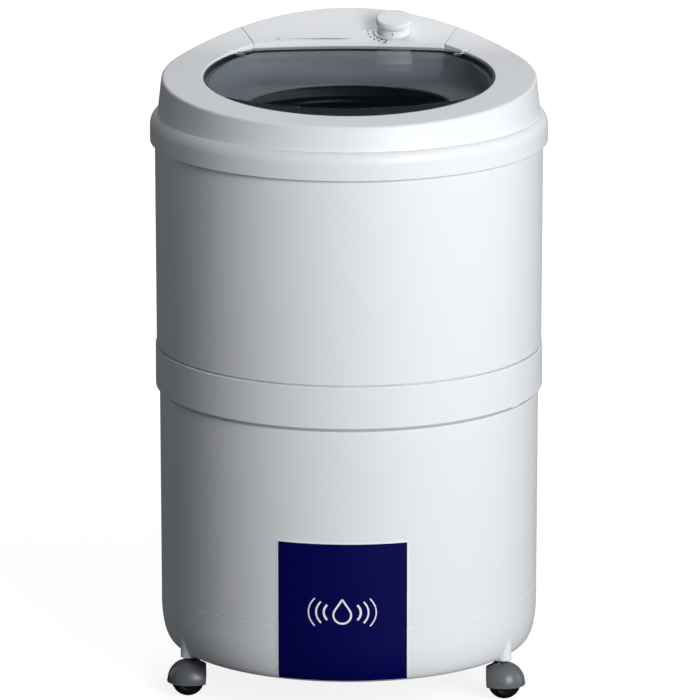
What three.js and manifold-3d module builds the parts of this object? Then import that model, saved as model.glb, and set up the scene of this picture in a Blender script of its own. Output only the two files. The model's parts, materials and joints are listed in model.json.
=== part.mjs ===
// Upright spin dryer, in millimetres: +Z up, front towards -Y, floor at z = 0, basket axis on x = y = 0.
import * as THREE from "three";
import { mergeVertices } from "three/addons/utils/BufferGeometryUtils.js";
import Module from "manifold-3d";

const wasm = await Module();
wasm.setup();

// ---------- driving sizes ----------
const COLLAR_R = 195; // widest radius, at the cover's collar
const LOWER_H = 299; // lower shell, from its underside to the top of the belt
const UPPER_H = 204; // upper shell, from the belt to the collar
const COVER_H = 63; // collar's lower edge to the top surface on the axis
const COLLAR_OVERHANG = 4.7;
const TOP_SLOPE = 0.07; // rise of the top surface per mm towards the rear
const PANEL_CURVE_R = 327; // upward curve of the top surface under the control panel
const PANEL_DEPTH = 68; // control panel, from the opening's chord to the rear rim
const RIM_LAND = 40.2; // flat ring round the opening
const CHORD_R = 569; // slight curve of the opening's rear chord
const PANEL_SEAM_LEAN = 1 / 3; // outward run of the panel's side seams per mm towards the rear
const BELT_H = 41;
const BELT_PROUD = 3.9; // belt stands out from the lower shell
const WALL = 2.8; // plastic wall thickness
const SHELL_WALL = 3;
const GAP = 0.3; // clearance between parts that meet
const RUNNING_GAP = 0.06; // radial clearance of a turning fit
const BASE_TURN = -2; // degrees that the lower shell is turned on the upper one
const LID_T = 4;
const LID_DROP = 1.5; // lid's face below the rim
const LID_INSET = 3.3; // opening's edge to the lid's edge
const LID_PIN_R = 1.5;
const GRIP_DEPTH = 30.8; // front grip on the lid, front to back on the centre line
const GRIP_R = 194; // arc between the grip and the clear panel
const KNOB_R = 17.5;
const KNOB_CAP_R = 18.8;
const KNOB_X = 45;
const TIMER_SHAFT_R = 3;
const TIMER_BODY_R = 15;
const MOUTH_INSET = 42.8; // opening's edge to the mouth of the splash ring
const BASKET_ROOM = 65; // collar radius to basket radius
const BASKET_T = 1.6;
const HOLE_R = 4;
const HOLE_ROWS = 3;
const SHAFT_R = 8;
const MOTOR_R = 62;
const MOTOR_H = 91.7;
const DISC_R = 40;
const MOUNT_PCR = 105;
const CASTOR_WHEEL_R = 16;
const HOOD_OVER_WHEEL = 4.3;
const CASTOR_INSET = 15.8; // castor stem to the lower shell's skin
const TRAIL = 6.5; // castor stem to axle
const STEM_R = 3.5;
const AXLE_R = 2;
const SPOUT_R = 9;
const GLAND_R = 6.2;
const LABEL_H = 143;
const LABEL_HALF_DEG = 20;

// Facets round the shells, the inner drums, turned parts and rods.
const BIG = 32;
const MID = 20;
const TURN = 24;
const ROD = 16;

// ---------- derived sizes ----------
const HOOD_R = CASTOR_WHEEL_R + HOOD_OVER_WHEEL;
const BODY_Z = CASTOR_WHEEL_R + HOOD_R + 5.7;
const BELT_TOP_Z = BODY_Z + LOWER_H;
const BELT_Z = BELT_TOP_Z - BELT_H;
const SHELF_Z = BELT_TOP_Z - BELT_H / 2; // shelf inside the belt, which carries the tub floor
const COLLAR_Z = BELT_TOP_Z + UPPER_H;
const RIM_Z = COLLAR_Z + COVER_H;

const CASE_R = COLLAR_R - COLLAR_OVERHANG;
const CASE_LOW_R = CASE_R - 0.7;
const BELT_R = CASE_R + 0.4;
const LOWER_R = BELT_R - BELT_PROUD;
const LOWER_FOOT_R = LOWER_R - 0.6;
const BELT_IN_R = LOWER_R + 0.6;
const SKIRT_R = BELT_IN_R - 0.5; // upper shell's skirt, inside the belt
const RIM_R = COLLAR_R - 12;
const OPENING_R = RIM_R - RIM_LAND;
const CHORD_Y = RIM_R - PANEL_DEPTH;
const CHORD_CENTRE_Y = CHORD_Y - CHORD_R;
const PANEL_Y = CHORD_Y - 45; // the top surface curves upwards behind this line
const HINGE_Y = CHORD_Y - 28;
const MOUTH_R = OPENING_R - MOUTH_INSET;
const MOUTH_Z = RIM_Z - 29.5;
const BASKET_R = COLLAR_R - BASKET_ROOM;
const BASKET_TOP_Z = MOUTH_Z - 16.5;
const CASTOR_PCR = LOWER_R - CASTOR_INSET;
const FOOT_FLANGE_R = CASTOR_PCR - 23;

// Drive, stacked up from the base plate, a shallow pan that hangs in the lower shell's flange.
const FLANGE_T = 2.5;
const PLATE_T = 2.5;
const PLATE_Z = BODY_Z - 0.5;
const PLATE_TOP_Z = PLATE_Z + PLATE_T;
const PLATE_RIM_Z = BODY_Z + FLANGE_T + GAP;
const DISC_Z = PLATE_TOP_Z + 16;
const MOTOR_Z = DISC_Z + 20;
const BRACKET_Z = MOTOR_Z + MOTOR_H + GAP;
const BASKET_Z = BRACKET_Z + 64;
const TUB_Z = BASKET_Z - 22;

// ---------- finishes ----------
const finishes = {
  white: { color: 0xe4e7ea, roughness: 0.25 },
  tinted: { color: 0x2a3338, roughness: 0.05, transparent: true, opacity: 0.6 },
  slate: { color: 0x20282d, roughness: 0.1 },
  rubber: { color: 0x0c0c0c, roughness: 0.8 },
  grey: { color: 0x6f7275, roughness: 0.5 },
  navy: { color: 0x00004c, roughness: 0.2 },
  steel: { color: 0xa0a0a0, roughness: 0.35, metalness: 1 },
  basket: { color: 0xa8a8a6, roughness: 0.4, metalness: 1 },
  alloy: { color: 0x9c9fa2, roughness: 0.5, metalness: 1 },
  dark: { color: 0x2b2b2d, roughness: 0.5, metalness: 0.6 },
  lining: { color: 0x1a1a1a, roughness: 0.9 },
  case: { color: 0xc4c4bc, roughness: 0.5 },
  hood: { color: 0x26292c, roughness: 0.15 },
  wheel: { color: 0x0a0a0a, roughness: 0.4 },
};

// ---------- small helpers ----------
const rad = (deg) => (deg * Math.PI) / 180;
const bore = (r, n) => r / Math.cos(Math.PI / n); // faceted hole whose flats clear radius r
const at = (x, y, z) => new THREE.Matrix4().makeTranslation(x, y, z);
const turnX = (deg) => new THREE.Matrix4().makeRotationX(rad(deg));
const turnY = (deg) => new THREE.Matrix4().makeRotationY(rad(deg));
const turnZ = (deg) => new THREE.Matrix4().makeRotationZ(rad(deg));
const chain = (...matrices) => matrices.reduce((all, m) => all.multiply(m), new THREE.Matrix4());
const slope = new THREE.Matrix4().makeShear(0, 0, 0, TOP_SLOPE, 0, 0); // z rises with y, as the top does

// A three.js geometry as a manifold-3d solid, with its faces pointing outwards.
function solid(geometry) {
  const flat = geometry.index ? geometry.toNonIndexed() : geometry;
  const bare = new THREE.BufferGeometry().setAttribute("position", flat.getAttribute("position"));
  const merged = mergeVertices(bare, 1e-4);
  const faces = new Uint32Array(merged.index.array);
  const vertProperties = merged.attributes.position.array;
  const make = (triVerts) => new wasm.Manifold(new wasm.Mesh({ numProp: 3, vertProperties, triVerts }));
  const made = make(faces);
  return made.volume() < 0 ? make(faces.reverse()) : made;
}

const placed = (made, matrix) => made.transform(matrix.toArray());
const joined = (first, ...rest) => rest.reduce((all, one) => all.add(one), first);
const cut = (first, ...rest) => rest.reduce((all, one) => all.subtract(one), first);

// Closed [r, z] profile turned about Z.
function turned(profile, n = TURN, phase = 0) {
  const points = [...profile, profile[0]].map(([r, z]) => new THREE.Vector2(r, z));
  const g = new THREE.LatheGeometry(points, n, phase);
  g.rotateX(Math.PI / 2);
  return solid(g);
}

function ring(outer, inner, z0, z1, n = TURN) {
  return turned([[inner, z0], [outer, z0], [outer, z1], [inner, z1]], n);
}

function rod(r, z0, z1, n = ROD) {
  const g = new THREE.CylinderGeometry(r, r, z1 - z0, n);
  g.rotateX(Math.PI / 2);
  g.translate(0, 0, (z0 + z1) / 2);
  return solid(g);
}

function box(x0, x1, y0, y1, z0, z1) {
  const g = new THREE.BoxGeometry(x1 - x0, y1 - y0, z1 - z0);
  g.translate((x0 + x1) / 2, (y0 + y1) / 2, (z0 + z1) / 2);
  return solid(g);
}

function prism(points, z0, z1) {
  const shape = new THREE.Shape(points.map(([x, y]) => new THREE.Vector2(x, y)));
  const g = new THREE.ExtrudeGeometry(shape, { depth: z1 - z0, bevelEnabled: false });
  g.translate(0, 0, z0);
  return solid(g);
}

// Ring whose [r, z] profile changes with the angle.
function swept(angles, profileAt) {
  const rows = angles.map((t) =>
    profileAt(t).map(([r, z]) => new THREE.Vector3(r * Math.cos(t), r * Math.sin(t), z)),
  );
  const corners = [];
  rows.forEach((row, i) => {
    const next = rows[(i + 1) % rows.length];
    row.forEach((a, j) => {
      const k = (j + 1) % row.length;
      corners.push(a, next[j], next[k], a, next[k], row[k]);
    });
  });
  return solid(new THREE.BufferGeometry().setFromPoints(corners));
}

// Adds a solid to a group as one named mesh with its own material.
function add(group, name, made, finish) {
  const m = made.getMesh();
  const g = new THREE.BufferGeometry();
  g.setAttribute("position", new THREE.BufferAttribute(m.vertProperties, 3));
  g.setIndex(new THREE.BufferAttribute(m.triVerts, 1));
  g.computeVertexNormals();
  const mesh = new THREE.Mesh(g, new THREE.MeshStandardMaterial(finishes[finish]));
  mesh.name = name;
  group.add(mesh);
}

const part = new THREE.Group();
function subGroup(x, y, z, parent = part) {
  const g = new THREE.Group();
  g.position.set(x, y, z);
  parent.add(g);
  return g;
}

// ---------- the sloping top and its opening ----------
const curveRise = (y) => (y > PANEL_Y ? (y - PANEL_Y) ** 2 / (2 * PANEL_CURVE_R) : 0);
const topZ = (y) => RIM_Z + TOP_SLOPE * y + curveRise(y);
const lidTopZ = (y) => RIM_Z - LID_DROP + TOP_SLOPE * y;
const lidLowZ = (y) => lidTopZ(y) - LID_T;
const HINGE_Z = lidTopZ(HINGE_Y) - LID_T / 2;

// Radius of the opening at an angle: a circle cut short by the rear chord, moved inwards by inset.
function openingR(theta, inset = 0) {
  const along = CHORD_CENTRE_Y * Math.sin(theta);
  const chord = along + Math.sqrt(along ** 2 - CHORD_CENTRE_Y ** 2 + (CHORD_R - inset) ** 2);
  return Math.min(OPENING_R - inset, chord);
}

const CORNER_Y = (CHORD_R ** 2 - OPENING_R ** 2 - CHORD_CENTRE_Y ** 2) / (-2 * CHORD_CENTRE_Y);
const CORNER = Math.asin(CORNER_Y / OPENING_R);
const CORNER_X = OPENING_R * Math.cos(CORNER);
const evenAngles = [...Array(BIG).keys()].map((i) => (i * 2 * Math.PI) / BIG);
const stations = [...evenAngles, CORNER, Math.PI - CORNER].sort((a, b) => a - b);

// ---------- top cover and control panel ----------
const COVER_IN_R = CASE_R + 0.5;
const PIN_REACH = 7; // hinge pin's end beyond the opening's edge
const PIN_X = Math.sqrt(OPENING_R ** 2 - HINGE_Y ** 2);

function coverProfile(theta) {
  const s = Math.sin(theta);
  const o = openingR(theta);
  const under = RIM_R - WALL;
  const mid = (o + RIM_R) / 2;
  const onTop = (r, dz) => [r, topZ(r * s) + dz];
  const collar = [
    [COVER_IN_R, COLLAR_Z],
    [COLLAR_R, COLLAR_Z],
    [COLLAR_R, COLLAR_Z + 15],
    [COLLAR_R - 1, COLLAR_Z + 20.5],
    [COLLAR_R - 3.6, COLLAR_Z + 25],
    [COLLAR_R - 7.5, COLLAR_Z + 27],
  ];
  const rim = [onTop(RIM_R + 0.4, -3), onTop(RIM_R - 0.4, -0.9), onTop(RIM_R - 2.5, 0)];
  const edge = [onTop(mid, 0), onTop(o + 1.5, 0), onTop(o + 0.3, -0.5), onTop(o, -1.6)];
  const well = [onTop(o, -LID_T - 4.5), onTop(o + 2.4, -LID_T - 4.5), onTop(o + 2.4, -WALL)];
  const underside = [onTop(mid, -WALL), onTop(under - 1, -WALL), onTop(under, -WALL - 1.2)];
  const inside = [
    [COLLAR_R - 10.3, COLLAR_Z + 26],
    [COLLAR_R - 10.3, COLLAR_Z + 24.5],
    [COLLAR_R - 6.6, COLLAR_Z + 21.5],
    [COVER_IN_R, COLLAR_Z + 15],
  ];
  return [...collar, ...rim, ...edge, ...well, ...underside, ...inside];
}
const coverRing = swept(stations, coverProfile);

function panelBlock(grow) {
  const halfWidth = (y) => CORNER_X + (y - CORNER_Y) * PANEL_SEAM_LEAN + grow;
  const front = CORNER_Y - 6;
  const back = COLLAR_R + 5;
  const low = COLLAR_Z + 29 - grow;
  const outline = [
    [-halfWidth(front), front],
    [halfWidth(front), front],
    [halfWidth(back), back],
    [-halfWidth(back), back],
  ];
  return prism(outline, low, RIM_Z + 100);
}

// Slot that a hinge pin drops into from above, on the side given as 1 or -1.
function pinSlot(side, play, x0, x1, depth) {
  const [low, high] = [side * x0, side * x1].sort((a, b) => a - b);
  const half = LID_PIN_R + play;
  return box(low, high, HINGE_Y - half, HINGE_Y + half, HINGE_Z - depth, RIM_Z + 30);
}
const coverSlot = (side) => pinSlot(side, GAP, PIN_X - 2, PIN_X + PIN_REACH + 1, LID_PIN_R + GAP);
add(part, "top_cover", cut(coverRing, panelBlock(GAP), coverSlot(1), coverSlot(-1)), "white");

// ---------- timer, square to the panel's surface ----------
const TIMER_Y = CHORD_Y + KNOB_R + 2.5;
const timerTilt = Math.atan(TOP_SLOPE + (TIMER_Y - PANEL_Y) / PANEL_CURVE_R);
const timer = subGroup(KNOB_X, TIMER_Y, topZ(TIMER_Y));
timer.rotation.x = timerTilt;
timer.updateMatrix();
const shaftHole = placed(rod(TIMER_SHAFT_R + 1.2, -9, 6, MID), timer.matrix);
add(part, "control_panel", cut(coverRing.intersect(panelBlock(0)), shaftHole), "white");

const KNOB_H = 12; // panel to the shaft's socket in the cap
const KNOB_SKIRT_H = 8.4;
const KNOB_SKIRT_R = KNOB_R - 0.7;
const knobSkirt = [
  [TIMER_SHAFT_R + GAP, 3],
  [7, 3],
  [7, KNOB_SKIRT_H - 3],
  [KNOB_SKIRT_R - 1.8, KNOB_SKIRT_H - 3],
  [KNOB_SKIRT_R - 1.8, 0.7],
  [KNOB_SKIRT_R, 0.7],
  [KNOB_SKIRT_R - 0.4, KNOB_SKIRT_H],
  [TIMER_SHAFT_R + GAP, KNOB_SKIRT_H],
];
const knobCap = [
  [0, KNOB_H + 0.6],
  [TIMER_SHAFT_R + GAP, KNOB_H + 0.6],
  [TIMER_SHAFT_R + GAP, KNOB_SKIRT_H + 0.5],
  [KNOB_CAP_R - 1, KNOB_SKIRT_H + 0.5],
  [KNOB_CAP_R, KNOB_SKIRT_H + 1.5],
  [KNOB_CAP_R - 0.4, KNOB_H + 2.4],
  [KNOB_CAP_R - 2, KNOB_H + 4],
  [0, KNOB_H + 4],
];
const timerBore = rod(bore(TIMER_SHAFT_R + RUNNING_GAP, ROD), -17, 0);
add(timer, "timer_knob", turned(knobSkirt, MID), "white");
add(timer, "knob_cap", turned(knobCap, MID), "white");
add(timer, "timer_shaft", rod(TIMER_SHAFT_R, -16, KNOB_H + 0.2), "steel");
add(timer, "timer_body", cut(rod(TIMER_BODY_R, -30, -WALL - 0.8, MID), timerBore), "grey");

// ---------- lid, built about its hinge ----------
const lid = subGroup(0, HINGE_Y, HINGE_Z);
const lidFlat = RIM_Z - LID_DROP; // height of the lid's face on the axis, before it is sloped
const toLid = chain(at(0, -HINGE_Y, -HINGE_Z), slope);
const lidOutline = (inset) =>
  stations.map((t) => [openingR(t, inset) * Math.cos(t), openingR(t, inset) * Math.sin(t)]);
const gripCentreY = GRIP_R - (OPENING_R - GRIP_DEPTH);
const gripDisc = (grow, z0, z1) => placed(rod(GRIP_R + grow, z0, z1, 72), at(0, gripCentreY, 0));
const plate = prism(lidOutline(LID_INSET), lidFlat - LID_T, lidFlat);

const LUG_R = LID_T / 2 + 1.2;
const lidFlatR = (OPENING_R - LID_INSET) * Math.cos(Math.PI / BIG);
const LUG_X = Math.sqrt(lidFlatR ** 2 - (HINGE_Y + LUG_R) ** 2) - 3; // lugs end inside the plate's edge
const lugBore = rod(bore(LID_PIN_R + 0.08, ROD), 0, 14);
const onSide = (side, made, x) => placed(made, chain(at(side * x, 0, 0), turnY(side * 90)));
const lugs = [1, -1].map((side) => onSide(side, rod(LUG_R, -2, 3), LUG_X));
const lugBores = [1, -1].map((side) => onSide(side, lugBore, LUG_X - 0.5));
const clearPlate = placed(plate.intersect(gripDisc(-GAP / 2, 0, RIM_Z + 50)), toLid);
add(lid, "lid_panel", cut(joined(clearPlate, ...lugs), ...lugBores), "tinted");

// The grip is the front crescent, with a ledge that reaches under the clear panel.
const ledge = prism(lidOutline(LID_INSET + 8.5), lidFlat - LID_T - 1.5, lidFlat - LID_T + 1);
const grip = joined(
  cut(plate, gripDisc(GAP / 2, 0, RIM_Z + 50)),
  cut(ledge, gripDisc(GAP / 2, 0, RIM_Z + 50)),
  cut(ledge, gripDisc(-6, 0, RIM_Z + 50), gripDisc(1, lidFlat - LID_T - GAP, RIM_Z + 50)),
);
add(lid, "lid_grip", placed(grip, toLid), "slate");

function gasketProfile(theta) {
  const s = Math.sin(theta);
  const outer = openingR(theta, GAP);
  const inner = openingR(theta, LID_INSET - 0.8);
  return [
    [outer, lidLowZ(outer * s) - 1.2],
    [outer, lidTopZ(outer * s) - 0.2],
    [inner, lidTopZ(inner * s) - 0.2],
    [inner, lidLowZ(inner * s) - 1.2],
  ];
}
const gasketSlot = (side) => pinSlot(side, 0.7, PIN_X - 9, PIN_X + 4, LID_PIN_R + 0.5);
add(part, "lid_gasket", cut(swept(stations, gasketProfile), gasketSlot(1), gasketSlot(-1)), "rubber");

for (const [side, name] of [[-1, "left"], [1, "right"]]) {
  const pin = onSide(side, rod(LID_PIN_R, LUG_X + 1 - PIN_X, PIN_REACH - 1), PIN_X);
  add(part, "lid_hinge_pin_" + name, placed(pin, at(0, HINGE_Y, HINGE_Z)), "steel");
}

// ---------- wet parts ----------
function splashProfile(theta) {
  const o = openingR(theta, GAP);
  const y = o * Math.sin(theta);
  const behind = THREE.MathUtils.smoothstep(y, HINGE_Y - 32, HINGE_Y - 5);
  const lip = o - THREE.MathUtils.lerp(6, 1.9, behind); // no lip where the lid's rear edge swings down
  const top = lidLowZ(y) - 1.6;
  return [
    [o, top],
    [lip, top],
    [lip, top - 1.8],
    [o - 1.7, top - 2.2],
    [o - 1.7, MOUTH_Z + 5.5],
    [MOUTH_R + 2, MOUTH_Z + 1],
    [MOUTH_R, MOUTH_Z],
    [MOUTH_R, MOUTH_Z - 2],
    [CASE_R - 8, COLLAR_Z + 13.8],
    [CASE_R, COLLAR_Z + 11.4],
    [CASE_R, COLLAR_Z + 13.4],
    [CASE_R - 6.7, COLLAR_Z + 15.8],
    [MOUTH_R + 6.5, MOUTH_Z - 1.9],
    [o, MOUTH_Z + 3.5],
  ];
}
add(part, "splash_ring", swept(stations, splashProfile), "grey");

const upperShell = [
  [SKIRT_R, SHELF_Z + 3.1],
  [SKIRT_R, BELT_TOP_Z + 1.3],
  [CASE_LOW_R, BELT_TOP_Z + 1.3],
  [CASE_R, COLLAR_Z],
  [CASE_R, COLLAR_Z + 11],
  [CASE_R - SHELL_WALL, COLLAR_Z + 11],
  [CASE_LOW_R - SHELL_WALL, BELT_TOP_Z + 6],
  [SKIRT_R - 2.5, BELT_TOP_Z - 1],
  [SKIRT_R - 2.5, SHELF_Z + 3.1],
];
add(part, "upper_shell", turned(upperShell, BIG), "white");

const TUB_R = BASKET_R + 21;
const COLLAR_BORE_R = 50; // tub's central collar, round the bellows
const COLLAR_TOP_Z = TUB_Z + 14;
const tubBowl = [
  [SKIRT_R - 0.8, SHELF_Z + GAP],
  [SKIRT_R - 0.8, SHELF_Z + 2.8],
  [LOWER_R - 12.8, SHELF_Z + 2.8],
  [LOWER_R - 17.8, SHELF_Z - 2],
  [TUB_R + 6.5, TUB_Z + 12],
  [TUB_R - 1, TUB_Z + 2.5],
  [TUB_R - 41, TUB_Z + 4.5],
  [COLLAR_BORE_R + 2.5, TUB_Z + 2.5],
  [COLLAR_BORE_R + 2.5, COLLAR_TOP_Z],
  [COLLAR_BORE_R, COLLAR_TOP_Z],
  [COLLAR_BORE_R, TUB_Z],
  [TUB_R - 41, TUB_Z + 2],
  [TUB_R + 0.5, TUB_Z],
  [TUB_R + 9, TUB_Z + 11],
  [LOWER_R - 15.5, SHELF_Z - 3.5],
  [LOWER_R - 11.8, SHELF_Z + GAP],
];
const DRAIN_Y = TUB_R - 13;
const DRAIN_R = 9;
const drainStub = placed(ring(DRAIN_R + 2.5, DRAIN_R - 1, TUB_Z - 20, TUB_Z + 1.2, ROD), at(0, DRAIN_Y, 0));
const drainHole = placed(rod(DRAIN_R, TUB_Z - 25, TUB_Z + 6), at(0, DRAIN_Y, 0));
add(part, "tub_floor", cut(joined(turned(tubBowl, MID), drainStub), drainHole), "grey");

const BEARING_TUBE_R = 22;
const bellows = [
  [BEARING_TUBE_R + 0.5, TUB_Z - 14],
  [BEARING_TUBE_R + 3, TUB_Z - 14],
  [BEARING_TUBE_R + 3, TUB_Z - 2.5],
  [31, TUB_Z - 2.5],
  [36, TUB_Z + 2.5],
  [41, TUB_Z - 2.5],
  [COLLAR_BORE_R - GAP, TUB_Z - 2.5],
  [COLLAR_BORE_R - GAP, COLLAR_TOP_Z + GAP],
  [COLLAR_BORE_R + 4, COLLAR_TOP_Z + GAP],
  [COLLAR_BORE_R + 4, COLLAR_TOP_Z + 2.5],
  [COLLAR_BORE_R - 2.5, COLLAR_TOP_Z + 2.5],
  [COLLAR_BORE_R - 2.5, TUB_Z],
  [42, TUB_Z],
  [36, TUB_Z + 5.5],
  [30, TUB_Z],
  [BEARING_TUBE_R + 0.5, TUB_Z],
];
add(part, "shaft_bellows", turned(bellows, MID), "rubber");

// Drain hose: down from the tub's stub and out to the spout, with one smooth bend.
const SPOUT_Z = BODY_Z + 70;
const HOSE_TOP_Z = TUB_Z - 20 - GAP;
const HOSE_END_Y = LOWER_R - 21.8;
const hoseLine = new THREE.QuadraticBezierCurve3(
  new THREE.Vector3(0, DRAIN_Y, HOSE_TOP_Z),
  new THREE.Vector3(0, DRAIN_Y, SPOUT_Z),
  new THREE.Vector3(0, HOSE_END_Y, SPOUT_Z),
);
function hose(r) {
  const section = new THREE.Shape(new THREE.Path().absarc(0, 0, r, 0, 2 * Math.PI).getPoints(5).slice(0, -1));
  const g = new THREE.ExtrudeGeometry(section, { steps: 8, extrudePath: hoseLine, bevelEnabled: false });
  return solid(g);
}
const HOSE_BORE_R = 7.5;
const hoseMouths = [
  placed(rod(HOSE_BORE_R, -2, 2, 10), at(0, DRAIN_Y, HOSE_TOP_Z)),
  placed(rod(HOSE_BORE_R, -2, 2, 10), chain(at(0, HOSE_END_Y, SPOUT_Z), turnX(90))),
];
add(part, "drain_hose", cut(hose(HOSE_BORE_R + 2.5), hose(HOSE_BORE_R), ...hoseMouths), "rubber");

// Fittings through the lower shell's wall: local z points outwards, from the shell's skin.
function wallFrame(deg, z) {
  return chain(turnZ(deg - 90), at(0, LOWER_R, z), turnX(-90));
}
const spoutFrame = () => wallFrame(90, SPOUT_Z);
const spout = [
  [SPOUT_R - 2.5, -18.5],
  [SPOUT_R, -18.5],
  [SPOUT_R, -8],
  [SPOUT_R + 4, -8],
  [SPOUT_R + 4, -6],
  [SPOUT_R, -6],
  [SPOUT_R, 7],
  [SPOUT_R - 2.5, 7],
];
add(part, "drain_spout", placed(turned(spout, ROD), spoutFrame()), "grey");
const glandFrame = () => wallFrame(58, BODY_Z + 46);
const gland = [
  [GLAND_R - 2.6, -12],
  [GLAND_R + 3.3, -12],
  [GLAND_R + 3.3, -5],
  [GLAND_R, -5],
  [GLAND_R, 0.4],
  [GLAND_R + 2.8, 0.4],
  [GLAND_R + 0.6, 6.8],
  [GLAND_R - 2.6, 6.8],
];
add(part, "cord_gland", placed(turned(gland, ROD), glandFrame()), "grey");

// ---------- lower shell, base plate and label ----------
const FOOT_H = 38; // height of the rounded foot
const FOOT_IN = 10.2; // and how far it runs in
function footCurve(offset, steps = 4) {
  return [...Array(steps + 1).keys()].map((i) => {
    const t = (i * Math.PI) / 2 / steps;
    const r = LOWER_FOOT_R - FOOT_IN * (1 - Math.sin(t)) - offset * Math.sin(t);
    return [r, BODY_Z + FOOT_H * (1 - Math.cos(t)) + offset * Math.cos(t)];
  });
}
const lowerProfile = [
  [FOOT_FLANGE_R, BODY_Z],
  ...footCurve(0),
  [LOWER_R, BELT_Z - 4],
  [BELT_R, BELT_Z],
  [BELT_R, BELT_TOP_Z],
  [BELT_IN_R, BELT_TOP_Z],
  [BELT_IN_R, SHELF_Z],
  [LOWER_R - 3.2, SHELF_Z],
  [LOWER_R - 3.2, BELT_Z],
  ...footCurve(FLANGE_T).reverse(),
  [FOOT_FLANGE_R, BODY_Z + FLANGE_T],
];
const CASTOR_DEG = [-151, -29, 90].map((deg) => deg + BASE_TURN);
const BOSS_Z = BODY_Z - 2.5;
const STEM_TOP_Z = BODY_Z + 32;
const castorFrame = (deg) => chain(turnZ(deg), at(CASTOR_PCR, 0, 0));
const bosses = CASTOR_DEG.map((deg) => placed(rod(9, BOSS_Z, STEM_TOP_Z + 5, 12), castorFrame(deg)));
const stemBores = CASTOR_DEG.map((deg) =>
  placed(rod(bore(STEM_R + RUNNING_GAP, ROD), BOSS_Z - 1, STEM_TOP_Z + 0.6), castorFrame(deg)),
);
const beltSlots = CASTOR_DEG.map((deg) =>
  placed(box(BELT_R - 3, BELT_R + 2, -8, 8, BELT_Z - 2, BELT_Z + GAP), turnZ(deg)),
);
const wallHoles = [
  placed(rod(SPOUT_R + GAP, -20, 20), spoutFrame()),
  placed(rod(GLAND_R + GAP, -20, 20), glandFrame()),
];
const lowerBody = joined(turned(lowerProfile, BIG), ...bosses);
add(part, "lower_shell", cut(lowerBody, ...stemBores, ...beltSlots, ...wallHoles), "white");

const PAN_R = FOOT_FLANGE_R * Math.cos(Math.PI / BIG) - GAP;
const panProfile = [
  [0, PLATE_Z],
  [PAN_R, PLATE_Z],
  [PAN_R, PLATE_RIM_Z],
  [FOOT_FLANGE_R + 8, PLATE_RIM_Z],
  [FOOT_FLANGE_R + 8, PLATE_RIM_Z + PLATE_T],
  [PAN_R - PLATE_T, PLATE_RIM_Z + PLATE_T],
  [PAN_R - PLATE_T, PLATE_TOP_Z],
  [0, PLATE_TOP_Z],
];
const vents = [...Array(6).keys()].map((i) =>
  placed(box(66, 92, -3, 3, PLATE_Z - 1, PLATE_TOP_Z + 1), turnZ(i * 60)),
);
add(part, "base_plate", cut(turned(panProfile, MID), ...vents), "dark");

// The label is a thin skin on the lower shell, wrapped under its rounded foot.
const LABEL_TOP_Z = BODY_Z + LABEL_H;
const labelTopR = THREE.MathUtils.mapLinear(LABEL_TOP_Z, BODY_Z + FOOT_H, BELT_Z - 4, LOWER_FOOT_R, LOWER_R);
const labelLine = [...footCurve(0).slice(1), [labelTopR, LABEL_TOP_Z]];
const labelSkin = [
  ...labelLine.map(([r, z]) => [r + GAP + 0.2, z]),
  ...labelLine.map(([r, z]) => [r + GAP + 0.7, z]).reverse(),
];
const labelEdge = LOWER_R * Math.tan(rad(LABEL_HALF_DEG)) * 1.2;
const labelWedge = [[0, 0], [-labelEdge, -LOWER_R * 1.2], [labelEdge, -LOWER_R * 1.2]];
const labelPiece = turned(labelSkin, 90).intersect(placed(prism(labelWedge, 0, BELT_Z), turnZ(BASE_TURN)));
add(part, "front_label", labelPiece, "navy");

// ---------- basket and what turns with it, built up from the basket's underside ----------
const spinner = subGroup(0, 0, BASKET_Z);
const BASKET_H = BASKET_TOP_Z - BASKET_Z;
const SHAFT_BORE_R = bore(SHAFT_R + GAP, TURN);
const basketProfile = [
  [SHAFT_BORE_R, 0],
  [BASKET_R - 18, 0],
  [BASKET_R - 5, 5],
  [BASKET_R, 18],
  [BASKET_R, BASKET_H - 14],
  [BASKET_R - 3, BASKET_H - 5],
  [BASKET_R - 10, BASKET_H],
  [MOUTH_R + 5, BASKET_H],
  [MOUTH_R + 3.5, BASKET_H - 3],
  [MOUTH_R + 3.5 + BASKET_T, BASKET_H - 3.5],
  [MOUTH_R + 6.4, BASKET_H - BASKET_T],
  [BASKET_R - 10.5, BASKET_H - BASKET_T],
  [BASKET_R - 4.4, BASKET_H - 6],
  [BASKET_R - BASKET_T, BASKET_H - 14.3],
  [BASKET_R - BASKET_T, 18.4],
  [BASKET_R - 6.2, 6.4],
  [BASKET_R - 18.6, BASKET_T],
  [SHAFT_BORE_R, BASKET_T],
];
const drillings = [];
for (let row = 0; row < HOLE_ROWS; row++) {
  const z = 50 + (row * (BASKET_H - 110)) / (HOLE_ROWS - 1);
  for (let i = 0; i < 4; i++) {
    const across = rod(HOLE_R, -BASKET_R - 5, BASKET_R + 5, 6);
    drillings.push(placed(across, chain(turnZ((i + 0.5 + (row % 2) / 2) * 45), at(0, 0, z), turnY(90))));
  }
}
add(spinner, "basket", cut(turned(basketProfile, MID), ...drillings), "basket");
const balance = ring(BASKET_R + 9, bore(BASKET_R + GAP, MID), BASKET_H - 38, BASKET_H - 17, MID);
add(spinner, "balance_ring", balance, "grey");
const hubProfile = [
  [SHAFT_BORE_R, -15],
  [17, -15],
  [17, -6],
  [40, -3.5],
  [40, -GAP],
  [SHAFT_BORE_R, -GAP],
];
add(spinner, "basket_hub", turned(hubProfile), "alloy");
const NUT_H = 13;
const nut = cut(rod(14, BASKET_T + GAP, NUT_H, 6), rod(SHAFT_BORE_R, 0, NUT_H + 1, TURN));
add(spinner, "hub_nut", nut, "steel");
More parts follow.
